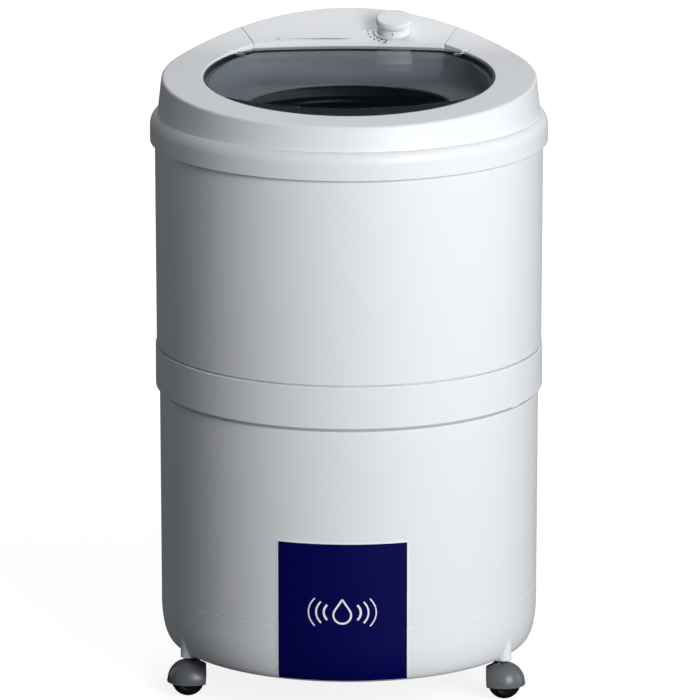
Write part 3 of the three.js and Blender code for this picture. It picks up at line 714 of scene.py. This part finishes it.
def make_panel(shaft_place):
    mesh = bmesh.new()
    inner = evenly(RIGHT_SEAM + SEAM_EDGE, LEFT_SEAM - SEAM_EDGE, PANEL_COLUMNS)
    columns = [rim_column(RIGHT_SEAM, 0, "above", SEAM_SOFT)]
    columns += [rim_column(angle, 0, "above") for angle in inner]
    columns += [rim_column(LEFT_SEAM, 0, "above", SEAM_SOFT)]
    loft(mesh, columns, caps=(0, -1))
    panel = piece_of("panel", mesh, FINISHES["white_plastic"])
    hole_r = 4.2
    carve(panel, [cylinder(hole_r, -9, 6, shaft_place)])
    stands(panel, "casing", "white_plastic", "control_panel")


# ---------- lid ----------
def disc_r(angle, radius):
    """Distance from the axis to the arc between the clear panel and the grip."""
    sideways = GRIP_CENTRE_Y * math.cos(angle)
    return GRIP_CENTRE_Y * math.sin(angle) + math.sqrt(radius**2 - sideways**2)


def meeting_angle(inset, radius):
    """Where the arc meets the lid's edge, on the right."""
    near, far = -math.pi / 2, math.radians(20)
    for _ in range(40):
        middle = (near + far) / 2
        if disc_r(middle, radius) < opening_r(middle, inset):
            near = middle
        else:
            far = middle
    return near


def edge_angles(*corners):
    """Angles all round with a column on each corner."""
    even = [k * 2 * math.pi / AROUND - math.pi / 2 for k in range(AROUND)]
    step = math.pi / AROUND
    kept = [a for a in even if all(abs(a - corner) > step for corner in corners)]
    return sorted([*kept, *corners])


def from_front(angle):
    """The same direction as an angle between -90 and 270 degrees."""
    wrapped = math.remainder(angle + math.pi / 2, 2 * math.pi) - math.pi / 2
    return wrapped if wrapped >= -math.pi / 2 else wrapped + 2 * math.pi


def on_lid(angle, r, height):
    """A point of the lid, at a height above its sloping underside."""
    return polar(angle, r, lid_top_z(r * math.sin(angle)) - LID_T + height)


def make_lid():
    inner_r = GRIP_R - GAP / 2
    meet = meeting_angle(LID_INSET, inner_r)
    corners = [from_front(angle) for angle in (meet, math.pi - meet, CORNER, math.pi - CORNER)]
    columns = []
    for angle in edge_angles(*corners):
        r = min(opening_r(angle, LID_INSET), disc_r(angle, inner_r))
        edge = rounded([(r - 3, 0), (r, 0, 0.5), (r, LID_T, 0.8), (r - 3, LID_T)], steps=4)
        columns.append([on_lid(angle, *point) for point in edge])
    mesh = bmesh.new()
    rows = loft(mesh, columns, wrap=True, open_outline=True)
    mesh.faces.new([row[0] for row in rows])
    mesh.faces.new([row[-1] for row in rows])
    glass = piece_of("lid_glass", mesh, FINISHES["tinted_lid"])
    lug_end = high("lid_hinge_pin_right").x - 13.7
    lug_length = 5
    bore_r, lug_r = PIN_R + 0.08, 3.2
    lug = rounded([(bore_r, -lug_length), (lug_r, -lug_length, 0.5), (lug_r, 0, 0.5), (bore_r, 0)])
    lugs = []
    for side in SIDES:
        place = at(side * lug_end, HINGE.y, HINGE.z) @ turn(side * 90, "Y")
        lugs.append(turned("lug", lug, None, place, ROD))
    carve(glass, lugs, "UNION")
    stands(glass, "lid", "tinted_lid", "lid_panel")


def make_grip():
    """Front crescent with the ledge that the clear panel lies on."""
    outer_r = GRIP_R + GAP / 2
    meet = meeting_angle(LID_INSET + 0.4, outer_r)
    rim_width = 8.5
    ledge_width = 6
    ledge_foot = -1.5
    least = 0.05  # keeps the horns of the crescent from closing up
    columns = []
    for angle in evenly(-math.pi - meet, meet, GRIP_COLUMNS):
        outer = opening_r(angle, LID_INSET)
        inner = disc_r(angle, outer_r)
        most_soft = (outer - inner) / 4
        rim = max(inner + least, outer - rim_width)
        ledge = min(disc_r(angle, GRIP_R - ledge_width), rim - least)
        outline = [
            (inner, LID_T, min(0.6, most_soft)),
            (inner, -GAP, 0.1),
            (ledge, -GAP, 0.2),
            (ledge, ledge_foot, 0.3),
            (rim, ledge_foot, 0.3),
            (rim, 0, 0.1),
            (outer, 0, min(0.6, most_soft)),
            (outer, LID_T, min(0.9, most_soft)),
        ]
        columns.append([on_lid(angle, *point) for point in rounded(outline, steps=4, closed=True)])
    mesh = bmesh.new()
    loft(mesh, columns, caps=(0, -1))
    grip = piece_of("lid_grip_band", mesh, FINISHES["slate_grip"])
    stands(grip, "lid", "slate_grip", "lid_grip")


def make_gasket():
    lid_gap = 0.8  # between the seal and the lid's edge
    skirt = 1.2  # how far the seal goes below the lid
    dip_y, dip_length = HINGE.y + 4, 12  # the top goes down behind the hinge
    front_drop, rear_drop = 0.2, 3.6
    columns = []
    for angle in edge_angles(CORNER, math.pi - CORNER):
        s = math.sin(angle)
        outer = opening_r(angle, GAP)
        inner = opening_r(angle, LID_INSET - lid_gap)
        share = min(max((outer * s - dip_y) / dip_length, 0), 1)
        drop = front_drop + (rear_drop - front_drop) * share
        outline = [
            (outer, lid_top_z(outer * s) - LID_T - skirt, 0.3),
            (outer, lid_top_z(outer * s) - drop, 0.7),
            (inner, lid_top_z(inner * s) - drop, 0.7),
            (inner, lid_top_z(inner * s) - LID_T - skirt, 0.3),
        ]
        columns.append([polar(angle, *point) for point in rounded(outline, 4, closed=True)])
    mesh = bmesh.new()
    loft(mesh, columns, wrap=True)
    seal = piece_of("lid_seal", mesh, FINISHES["black_rubber"])
    carve(seal, hinge_slots(110.5, 14, (14, 4.4, 32), 0.4))
    stands(seal, "casing", "black_rubber", "lid_gasket")


def make_hinge_pins():
    for name in ("lid_hinge_pin_left", "lid_hinge_pin_right"):
        start, end = low(name).x, high(name).x
        length = end - start
        outline = rounded([(0, 0), (PIN_R, 0, 0.4), (PIN_R, length, 0.4), (0, length)])
        place = at(start, HINGE.y, HINGE.z) @ turn(90, "Y")
        turned_part(name + "_rod", outline, place, "casing", "steel", name, ROD)


# ---------- timer ----------
def timer_place():
    joint = JOINTS["timer_turn"]
    tilt = Vector((0, 0, 1)).rotation_difference(Vector(joint["axis"])).to_matrix().to_4x4()
    return at(*joint_place("timer_turn")) @ tilt


def make_timer(place):
    bore_r = 3.3
    split = 8.4  # height of the line between the skirt and the cap
    split_gap = 0.5
    skirt_r = KNOB_R - 0.7
    cap_r = KNOB_R + 1.3
    skirt = [
        (bore_r, 3),
        (7, 3, 0.3),
        (7, split - 3, 0.3),
        (skirt_r - 1.8, split - 3, 0.4),
        (skirt_r - 1.8, 0.7, 0.3),
        (skirt_r, 0.7, 0.4),
        (skirt_r - 0.3, split - 0.8, 0.5),
        (skirt_r - 2.2, split - 0.5, 0.2),
        (skirt_r - 2.2, split),
        (bore_r, split),
    ]
    skirt = rounded(skirt, 6, closed=True)
    turned_part("knob_skirt", skirt, place, "timer", "white_plastic", "timer_knob")
    cap = [
        (bore_r, split + split_gap),
        (cap_r - 1, split + split_gap, 0.5),
        (cap_r - 0.2, split + 4, 3),
        (cap_r - 1, KNOB_H + 3.9, 1.8),
        (cap_r - 8, KNOB_H + 4.1, 6),
        (0, KNOB_H + 4),
        (0, KNOB_H + 0.6),
        (bore_r, KNOB_H + 0.6),
    ]
    cap = rounded(cap, 8, closed=True)
    turned_part("knob_top", cap, place, "timer", "white_plastic", "knob_cap")
    shaft_r, shaft_top = 3, KNOB_H + 0.2
    shaft = rounded([(0, -16), (shaft_r, -16, 0.5), (shaft_r, shaft_top, 0.3), (0, shaft_top)])
    turned_part("knob_shaft", shaft, place, "timer", "steel", "timer_shaft", ROD)
    tick = block("knob_tick", (0.9, 0.36, 3.6), place @ at(-2, -(skirt_r - 0.3), 5), GREY_INK, 0.12)
    stands(tick, "timer", None)


# ---------- printing on the panel ----------
INK_T = 0.12
INK_SUNK = 0.05  # how far below their surface printed lines start
PRINT_Y = 118.8
DIAL_START, DIAL_END = 176, 250  # degrees
DIAL_R = 20.6


def on_panel(x, y, lift):
    return Vector((x, y, top_z(y) + lift))


def ribbon(name, path, width, surface, finish, closed=False):
    """A raised printed line along points of a surface.

    The width is a number, or a function of how far along the line a point is, from 0 to 1.
    """
    count = len(path)
    columns = []
    for i, (u, v) in enumerate(path):
        before = path[i - 1] if closed or i else path[i]
        after = path[(i + 1) % count] if closed or i < count - 1 else path[i]
        along = Vector((after[0] - before[0], after[1] - before[1])).normalized()
        half = (width(i / (count - 1)) if callable(width) else width) / 2
        across = Vector((-along.y, along.x)) * half
        left, right = Vector((u, v)) + across, Vector((u, v)) - across
        corners = ((left, -INK_SUNK), (left, INK_T), (right, INK_T), (right, -INK_SUNK))
        columns.append([surface(*side, lift) for side, lift in corners])
    mesh = bmesh.new()
    loft(mesh, columns, wrap=closed, caps=() if closed else (0, -1))
    return piece_of(name, mesh, finish)


def printed(name, path, width, finish, closed=False):
    stands(ribbon(name, path, width, on_panel, finish, closed), "casing", None)


def lettering(text, size):
    """A mesh of raised lettering about the origin, in millimetres."""
    curve = bpy.data.curves.new("lettering", "FONT")
    curve.body = text
    curve.size = size
    curve.extrude = 0.08
    curve.offset = 0.16
    curve.align_x = "CENTER"
    curve.align_y = "CENTER"
    holder = bpy.data.objects.new("lettering", curve)
    bpy.context.scene.collection.objects.link(holder)
    graph = bpy.context.evaluated_depsgraph_get()
    data = bpy.data.meshes.new_from_object(holder.evaluated_get(graph))
    bpy.data.objects.remove(holder, do_unlink=True)
    mesh = bmesh.new()
    mesh.from_mesh(data)
    return mesh


def make_panel_print(knob):
    line = [(x, PRINT_Y) for x in evenly(-58, 2, 24)]
    printed("print_line", line, lambda t: 0.7 + 4.6 * t * math.sin(math.pi * t), GREY_INK)
    ring = arc((-70.5, PRINT_Y), (1.9, 1.9), 0, 360, 24)[:-1]
    printed("print_ring", ring, 0.6, GREY_INK, closed=True)
    dash_x, dash_length, dash_step = -66, 1.4, 2.4
    for k in range(3):
        start = dash_x + dash_step * k
        printed(f"print_dash_{k + 1}", [(start, PRINT_Y), (start + dash_length, PRINT_Y)], 0.7, GREY_INK)
    index = [(knob.x + x, knob.y + 6.5) for x in evenly(-33, -21, 6)]
    printed("print_index", index, lambda t: 0.3 + 0.9 * t, BLUE_INK)


def make_dial(knob):
    band = arc((knob.x, knob.y), (DIAL_R, DIAL_R), DIAL_START, DIAL_END, 30)
    printed("dial_band", band, 1.3, BLACK_INK)
    tick_in_r, tick_out_r = DIAL_R + 0.4, DIAL_R + 3
    digit_r = DIAL_R + 5.8
    marks = 5
    for k, degrees in enumerate(evenly(DIAL_START, DIAL_END, marks)):
        c, s = math.cos(math.radians(degrees)), math.sin(math.radians(degrees))
        tick = [(knob.x + r * c, knob.y + r * s) for r in (tick_in_r, tick_out_r)]
        printed(f"dial_tick_{k + 1}", tick, 1.2, BLACK_INK)
        digit = lettering(str(marks - k), 5.2)
        for vert in digit.verts:
            x, y, lift = vert.co
            vert.co = on_panel(knob.x + digit_r * c + x, knob.y + digit_r * s + y, lift + 0.04) * MM
        stands(piece_of(f"dial_digit_{k + 1}", digit, BLACK_INK), "casing", None)


# ---------- splash ring ----------
def make_splash():
    lip_from_y, lip_length = HINGE.y - 32, 27  # where the lip gets narrower towards the rear
    front_lip, lip_loss = 6, 4.1
    sheet = 1.7
    columns = []
    for angle in edge_angles(CORNER, math.pi - CORNER):
        o = opening_r(angle, GAP)
        y = o * math.sin(angle)
        along = min(max((y - lip_from_y) / lip_length, 0), 1)
        share = along * along * (3 - 2 * along)
        lip = o - (front_lip - lip_loss * share)
        top = lid_top_z(y) - LID_T - 1.6
        outline = [
            (o, top, 0.4),
            (lip, top, 0.4),
            (lip, top - 1.8, 0.3),
            (o - sheet, top - 2.2, 0.3),
            (o - sheet, MOUTH_Z + 5.5, 17),
            (MOUTH_R + 2, MOUTH_Z + 1, 0.6),
            (MOUTH_R, MOUTH_Z + 0.4, 0.6),
            (MOUTH_R, MOUTH_Z - 2, 0.6),
            (CASE_R - 8, COLLAR_Z + 13.8, 2),
            (CASE_R, COLLAR_Z + 11.4),
            (CASE_R, COLLAR_Z + 13.4),
            (CASE_R - 6.7, COLLAR_Z + 15.8, 2),
            (MOUTH_R + 6.5, MOUTH_Z - 1.9, 2),
            (o, MOUTH_Z + 3.5, 1),
        ]
        columns.append([polar(angle, *point) for point in rounded(outline, 6, closed=True)])
    mesh = bmesh.new()
    loft(mesh, columns, wrap=True)
    stands(piece_of("splash_bowl", mesh, BOWL), "casing", None, "splash_ring")


# ---------- shells ----------
def make_upper_shell():
    skirt = BELT_IN_R - 0.5
    outline = [
        (skirt, SHELF_Z + 3.1, 0.4),
        (skirt, BELT_TOP_Z + 1.3),
        (CASE_LOW_R, BELT_TOP_Z + 1.3, 0.8),
        (CASE_R, COLLAR_Z),
        (CASE_R, COLLAR_Z + 11, 0.4),
        (CASE_R - 3, COLLAR_Z + 11, 0.4),
        (CASE_LOW_R - 3, BELT_TOP_Z + 6, 2),
        (skirt - 2.5, BELT_TOP_Z - 1, 2),
        (skirt - 2.5, SHELF_Z + 3.1, 0.4),
    ]
    outline = rounded(outline, closed=True)
    turned_part("upper_casing", outline, None, "casing", "white_plastic", "upper_shell", AROUND)


def foot_curve(offset, steps=14):
    made = []
    for i in range(steps + 1):
        t = i * math.pi / 2 / steps
        r = LOWER_FOOT_R - FOOT_IN * (1 - math.sin(t)) - offset * math.sin(t)
        made.append((r, BODY_Z + FOOT_H * (1 - math.cos(t)) + offset * math.cos(t)))
    return made


def castor_place(number):
    return joint_place(f"castor_{number}_swivel")


def wall_place(node):
    """Frame of a fitting through the lower shell: local Z points outwards, from the shell's skin."""
    middle = (low(node) + high(node)) / 2
    angle = math.degrees(math.atan2(middle.y, middle.x))
    return turn(angle - 90, "Z") @ at(0, LOWER_R, middle.z) @ turn(-90, "X")


def make_lower_shell():
    flange_r = high("base_plate").x - 8
    line_z = BODY_Z + 56
    outline = [
        (flange_r, BODY_Z, 0.6),
        *foot_curve(0),
        (LOWER_FOOT_R + 0.04, line_z - 0.5, 0.2),
        (LOWER_FOOT_R - 0.3, line_z, 0.3),
        (LOWER_FOOT_R + 0.05, line_z + 0.5, 0.2),
        (LOWER_R, BELT_Z - 4, 1.5),
        (BELT_R, BELT_Z, 1.2),
        (BELT_R, BELT_TOP_Z, 0.8),
        (BELT_IN_R, BELT_TOP_Z, 0.5),
        (BELT_IN_R, SHELF_Z, 0.5),
        (LOWER_R - 3.2, SHELF_Z, 0.5),
        (LOWER_R - 3.2, BELT_Z, 2),
        *reversed(foot_curve(SKIN)),
        (flange_r, BODY_Z + SKIN, 0.6),
    ]
    shell = turned("lower_casing", rounded(outline, closed=True), FINISHES["white_plastic"], None, AROUND)
    foot_z = BODY_Z - BOSS_DROP
    boss_r, boss_top = 9, BODY_Z + 37
    boss = rounded([(0, foot_z), (boss_r, foot_z, 1.2), (boss_r, boss_top, 1.5), (0, boss_top)])
    rib_out = 6.9  # from a stem to the middle of its rib
    rib_foot, rib_top = foot_z + 0.1, boss_top - 1
    rib = rounded([(0, rib_foot), (7.5, rib_foot, 1.0), (7, rib_top), (0, rib_top)])
    bore_r, bore_top = 3.56, BODY_Z + 32.6
    bosses, cutters = [], []
    for number in CASTORS:
        spot = castor_place(number)
        outward = turn(math.degrees(math.atan2(spot.y, spot.x)), "Z")
        further = spot * (1 + rib_out / spot.to_2d().length)
        bosses.append(turned("boss", boss, None, at(spot.x, spot.y, 0), ROD))
        bosses.append(turned("rib", rib, None, at(further.x, further.y, 0), ROD))
        cutters.append(cylinder(bore_r, BODY_Z - 4, bore_top, at(spot.x, spot.y, 0)))
        cutters.append(block("slot", (5, 16, 2.3), outward @ at(BELT_R - 0.5, 0, BELT_Z - 0.85), None, 0.3))
    for fitting, hole_r in (("drain_spout", 9.3), ("cord_gland", 6.5)):
        cutters.append(cylinder(hole_r, -20, 20, wall_place(fitting)))
    carve(shell, bosses, "UNION")
    carve(shell, cutters)
    stands(shell, "casing", "white_plastic", "lower_shell")


# ---------- label ----------
LABEL_HALF = math.radians(20) * LOWER_R
LABEL_TOP_Z = high("front_label").z
LABEL_LINE = foot_curve(0)[3:] + [(LOWER_R - 0.25, LABEL_TOP_Z)]


def shell_r(z):
    """The lower shell's radius at a height."""
    for (r0, z0), (r1, z1) in zip(LABEL_LINE, LABEL_LINE[1:]):
        if z <= z1:
            return r0 + (r1 - r0) * (z - z0) / (z1 - z0)
    return LABEL_LINE[-1][0]


def on_label(u, z, lift):
    """u is measured round the shell from the label's middle, to the right."""
    angle = -math.pi / 2 + BASE_TURN + u / shell_r(z)
    return polar(angle, shell_r(z) + lift, z)


def film(name, half, bottom, top, inner, outer, finish):
    """A sheet on the shell between two lifts, half a width to each side of the label's middle."""
    heights = [z for _, z in LABEL_LINE if bottom < z < top]
    heights = [bottom, *heights, top]
    columns = []
    for u in evenly(-half, half, 48):
        front = [on_label(u, z, outer) for z in heights]
        back = [on_label(u, z, inner) for z in reversed(heights)]
        columns.append(front + back)
    mesh = bmesh.new()
    loft(mesh, columns, caps=(0, -1))
    return piece_of(name, mesh, finish)


def make_label():
    bottom = LABEL_LINE[0][1]
    border = film("label_border", LABEL_HALF, bottom, LABEL_TOP_Z, -0.2, 0.3, WHITE_INK)
    stands(border, "casing", None)
    inset = 1.5
    half, top = LABEL_HALF - inset, LABEL_TOP_Z - inset
    navy = film("label_face", half, bottom, top, 0.1, 0.36, FINISHES["label_film"])
    stands(navy, "casing", "label_film", "front_label")

    def on_face(u, z, lift):
        return on_label(u, z, 0.35 + lift)

    middle = BODY_Z + 73
    drop_r = 8.6
    drop = []
    for a in evenly(0, 2 * math.pi, 72)[:-1]:
        pinch = max(math.sin(a), 0) ** 3
        across = drop_r * math.cos(a) * (1 - 0.62 * pinch)
        drop.append((across, middle - 2.5 + drop_r * math.sin(a) + 6.5 * pinch))
    stands(ribbon("label_drop", drop, 1.9, on_face, WHITE_INK, closed=True), "casing", None)
    half_sweep = 0.62  # radians
    flatness = 0.72
    for k in range(3):
        reach = 18 + 7.5 * k
        width = 2.2 - 0.45 * k
        for side, name in ((0, "right"), (math.pi, "left")):
            sweep = evenly(side - half_sweep, side + half_sweep, 24)
            path = [(reach * math.cos(a), middle + flatness * reach * math.sin(a)) for a in sweep]
            mark = ribbon(f"label_sweep_{name}_{k + 1}", path, width, on_face, WHITE_INK)
            stands(mark, "casing", None)


# ---------- castors ----------
DRAW_BACK = 1.36  # how much longer a hood is on its flat side than a ball would be


def drawn_back(name, outline, place):
    """A hood's dome: round on the trailing side and drawn out towards its flat side."""
    columns = spun(outline)
    for column in columns:
        for point in column:
            if point.x < 0:
                point.x *= DRAW_BACK
    mesh = bmesh.new()
    loft(mesh, [[place @ point for point in column] for column in columns], wrap=True)
    return piece_of(name, mesh, FINISHES["hood_plastic"])


def make_hood(name, place, wheel_r, stem):
    """The hood: a dome cut off flat, with a wall there, a web between the wheels and the stem's collar."""
    hood_r = wheel_r + 4.3
    inner_r = hood_r - 2.4
    flat = wheel_r + 1.8
    foot = -1.6
    brim = 1.6
    wall_t = 0.9
    web_half = 1.2
    past = 60  # more than a hood is across
    over = arc((0, 0), (hood_r, hood_r), 88, 0, 24)
    dome = [(0, hood_r), *over, (hood_r + 0.5, -0.4), (hood_r + 0.5, foot)]
    under = arc((0, 0), (inner_r, inner_r), 0, 88, 24)
    hollow = [(hood_r - brim, foot), (inner_r, -0.6), *under, (0, inner_r)]
    beyond = block("cut", (past / 2, past, past), place @ at(-flat - past / 4, 0, 0), None)
    hood = carve(drawn_back(name + "_cover", dome + hollow, place), [beyond])
    wall = block("wall", (wall_t, past, past), place @ at(-flat + wall_t / 2, 0, 28.4), None)
    carve(wall, [drawn_back("dome", [*dome, (0, foot)], place)], "INTERSECT")
    web = cylinder(inner_r + 0.6, -web_half, web_half, place @ turn(90, "X"), TURN)
    sides = [block("cut", (40, past, past), place @ at(end, 0, 0), None) for end in (-33, 33)]
    carve(web, [block("cut", (past, past, 40), place @ at(0, 0, -24), None), *sides])
    collar_r, collar_foot, collar_top = 6, 15, 19.4
    collar = [(0, collar_foot), (collar_r, collar_foot, 0.4), (collar_r, collar_top, 1), (0, collar_top)]
    collar = turned("collar", rounded(collar), None, place @ at(stem, 0, 0), ROD)
    carve(hood, [wall, web, collar], "UNION")
    stem_hole_r = 3.8
    carve(hood, [cylinder(stem_hole_r, 10, 30, place @ at(stem, 0, 0))])
    stands(hood, name, "hood_plastic", name + "_hood")


def make_stem(name, swivel):
    stem_r, neck_r = 3.5, 2.9
    foot, top = low(name + "_stem").z, high(name + "_stem").z
    outline = [
        (0, foot),
        (stem_r, foot, 0.4),
        (stem_r, top - 8),
        (neck_r, top - 7.4),
        (neck_r, top - 4.6),
        (stem_r, top - 4),
        (stem_r, top, 1),
        (0, top),
    ]
    place = at(swivel.x, swivel.y, 0)
    turned_part(name + "_post", rounded(outline), place, name, "steel", name + "_stem", ROD)


def make_wheels(name, place, wheel_r):
    bore_r, inner_side, outer_side = 2.07, 1.5, 13
    tread = [
        (bore_r, inner_side),
        (4.5, inner_side, 0.3),
        (5, 2.6, 0.4),
        (11, 2.6, 0.6),
        (11.6, inner_side, 0.4),
        (wheel_r, inner_side, 0.8),
        (wheel_r, 4.2, 3),
        (wheel_r - 2.4, 9.6, 3),
        (wheel_r - 6.4, outer_side, 1.2),
        (wheel_r - 8.4, outer_side, 0.5),
        (wheel_r - 8.8, 12.2, 0.4),
        (4.6, 12.2, 0.4),
        (4.2, outer_side, 0.4),
        (bore_r, outer_side),
    ]
    tread = rounded(tread, closed=True)
    for letter, facing in (("a", 0), ("b", 180)):
        spot = place @ turn(facing, "Z") @ turn(90, "X")
        wheel = f"{name}_wheel_{letter}"
        turned_part(f"{name}_tyre_{letter}", tread, spot, wheel, "wheel_plastic", wheel)


def make_castor(number):
    name = f"castor_{number}"
    swivel = castor_place(number)
    axle = joint_place(f"{name}_wheel_a_roll")
    trail = (axle - swivel).to_2d()
    place = at(*axle) @ turn(math.degrees(math.atan2(trail.y, trail.x)), "Z")
    make_hood(name, place, axle.z, -trail.length)
    pin_r, pin_half = 2, 13.4
    pin = rounded([(0, -pin_half), (pin_r, -pin_half, 0.5), (pin_r, pin_half, 0.5), (0, pin_half)])
    turned_part(name + "_axle_pin", pin, place @ turn(90, "X"), name, "steel", name + "_axle", ROD)
    make_stem(name, swivel)
    make_wheels(name, place, axle.z)


# ---------- drum ----------
def make_drum():
    radius = high("basket").x
    bottom, top = low("basket").z, high("basket").z
    height = top - bottom
    sheet = 1.6
    hub_r = 8.4
    lip_r = MOUTH_R + 3.5
    outer = [
        (hub_r, 0),
        (radius - 18, 0, 3),
        (radius - 5, 5, 6),
        (radius, 18, 8),
        (radius, height - 14, 6),
        (radius - 3, height - 5, 4),
        (radius - 10, height, 4),
        (MOUTH_R + 5, height, 1.2),
        (lip_r, height - 3, 0.4),
    ]
    inner = [
        (lip_r + sheet, height - 3.5, 0.3),
        (MOUTH_R + 6.4, height - sheet, 0.8),
        (radius - 10.5, height - sheet, 4),
        (radius - 4.4, height - 6, 4),
        (radius - sheet, height - 14.3, 6),
        (radius - sheet, 18.4, 8),
        (radius - 6.2, 6.4, 6),
        (radius - 18.6, sheet, 3),
        (hub_r, sheet),
    ]
    place = at(0, 0, bottom)
    drum = turned("drum", rounded(outer + inner, closed=True), FINISHES["basket_steel"], place, 144)
    hole_r, past = 4, radius + 5
    drills = []
    for row, z in enumerate(evenly(50, height - 60, 2)):
        for i in range(4):  # each drill goes right through and makes two holes
            across = place @ turn((i + 0.5 + (row % 2) / 2) * 45, "Z") @ at(0, 0, z) @ turn(90, "Y")
            drills.append(cylinder(hole_r, -past, past, across, DRILL))
    carve(drum, drills)
    stands(drum, "spinner", "basket_steel", "basket")


# ---------- fittings through the lower shell ----------
def make_fitting(name, node, outline):
    outline = rounded(outline, closed=True)
    turned_part(name, outline, wall_place(node), "casing", "grey_plastic", node, ROD)


def make_outlet():
    bore_r, pipe_r, flange_r = 6.5, 9, 13
    outline = [
        (bore_r, -18.5),
        (pipe_r, -18.5, 0.4),
        (pipe_r, -8),
        (flange_r, -8, 0.4),
        (flange_r, -6, 0.4),
        (pipe_r, -6),
        (pipe_r, 4.4),
        (pipe_r, 5, 0.3),
        (pipe_r, 7, 0.6),
        (bore_r, 7, 0.6),
    ]
    make_fitting("outlet", "drain_spout", outline)


def make_cord_bush():
    bore_r, neck_r, nut_r = 3.6, 6.2, 9.5
    outline = [
        (bore_r, -12),
        (nut_r, -12, 0.5),
        (nut_r, -5, 0.5),
        (neck_r, -5),
        (neck_r, 0.4),
        (9, 0.4, 0.5),
        (6.8, 6.8, 1),
        (bore_r, 6.8, 0.6),
    ]
    make_fitting("cord_bush", "cord_gland", outline)


shaft_place = timer_place()
make_cover()
make_panel(shaft_place)
make_lid()
make_grip()
make_gasket()
make_hinge_pins()
make_timer(shaft_place)
make_panel_print(joint_place("timer_turn"))
make_dial(joint_place("timer_turn"))
make_splash()
make_upper_shell()
make_lower_shell()
make_label()
for castor in CASTORS:
    make_castor(castor)
make_drum()
make_outlet()
make_cord_bush()

for node in frame["nodes"].values():
    slot_name = node.data.materials[0].name.split(".")[0]
    node.data.materials[0] = FINISHES[slot_name]


# ---------- studio ----------
def softbox(name, place, aim, size, power, colour=(1, 1, 1)):
    data = bpy.data.lights.new(name, "AREA")
    data.shape = "RECTANGLE"
    data.size, data.size_y = size
    data.energy = power
    data.color = colour
    lamp = bpy.data.objects.new(name, data)
    lamp.location = place
    lamp.rotation_euler = (Vector(aim) - Vector(place)).to_track_quat("-Z", "Y").to_euler()
    bpy.context.scene.collection.objects.link(lamp)


def around(degrees, height, distance):
    """A place round the dryer: 0 is in front and 90 is on the right."""
    angle = math.radians(degrees)
    return distance * math.sin(angle), -distance * math.cos(angle), height


MIDDLE = (0, 0, 0.35)
softbox("key_light", around(31, 1.5, 3.2), MIDDLE, (1.5, 1.8), 117)
softbox("right_fill", around(95, 0.8, 3.0), MIDDLE, (1.2, 1.8), 16)
softbox("high_back_light", (0.2, 2.0, 2.9), (0, 0, 0.6), (1.6, 1.6), 38)
softbox("left_rim", around(-118, 0.9, 3.0), MIDDLE, (0.8, 2.0), 9, (0.93, 0.96, 1))

world = bpy.data.worlds.new("studio_air")
world.use_nodes = True
world.node_tree.nodes["Background"].inputs["Color"].default_value = (0.9, 0.95, 1, 1)
world.node_tree.nodes["Background"].inputs["Strength"].default_value = 0.085
bpy.context.scene.world = world
world.cycles_visibility.glossy = False

STUDIO_R = 16 * METRE
BEND_R = 4 * METRE
flat_r = STUDIO_R - BEND_R
bend = arc((flat_r, BEND_R), (BEND_R, BEND_R), -80, 0, 9)
sweep = [(0, 0), (METRE, 0), (4 * METRE, 0), (flat_r, 0), *bend, (STUDIO_R, 12 * METRE)]
sheet = bmesh.new()
loft(sheet, spun(sweep, None, 64), wrap=True, open_outline=True)
floor = piece_of("floor", sheet, None)
floor.modifiers.clear()
pale = Paint("pale_floor", Roughness=0.6, Emission_Strength=1.0)
dust = pale.noise(3, detail=2)
pale.colour(pale.between(dust, (0.24, 0.24, 0.24), (0.25, 0.25, 0.25)))
reach = pale.add("ShaderNodeVectorMath", {"operation": "LENGTH"}, {0: pale.place}, output=1)
glow = pale.add("ShaderNodeMapRange", None, {0: reach, 1: 0.4, 2: 2.5, 3: 0.0, 4: 1.0})
pale.feed(pale.shader.inputs["Emission Color"], pale.between(glow, (0.86, 0.86, 0.86), (1, 1, 1)))
floor.data.materials[0] = pale.material
for polygon in floor.data.polygons:
    polygon.use_smooth = True
floor.visible_diffuse = False
floor.visible_glossy = False
floor.visible_shadow = False
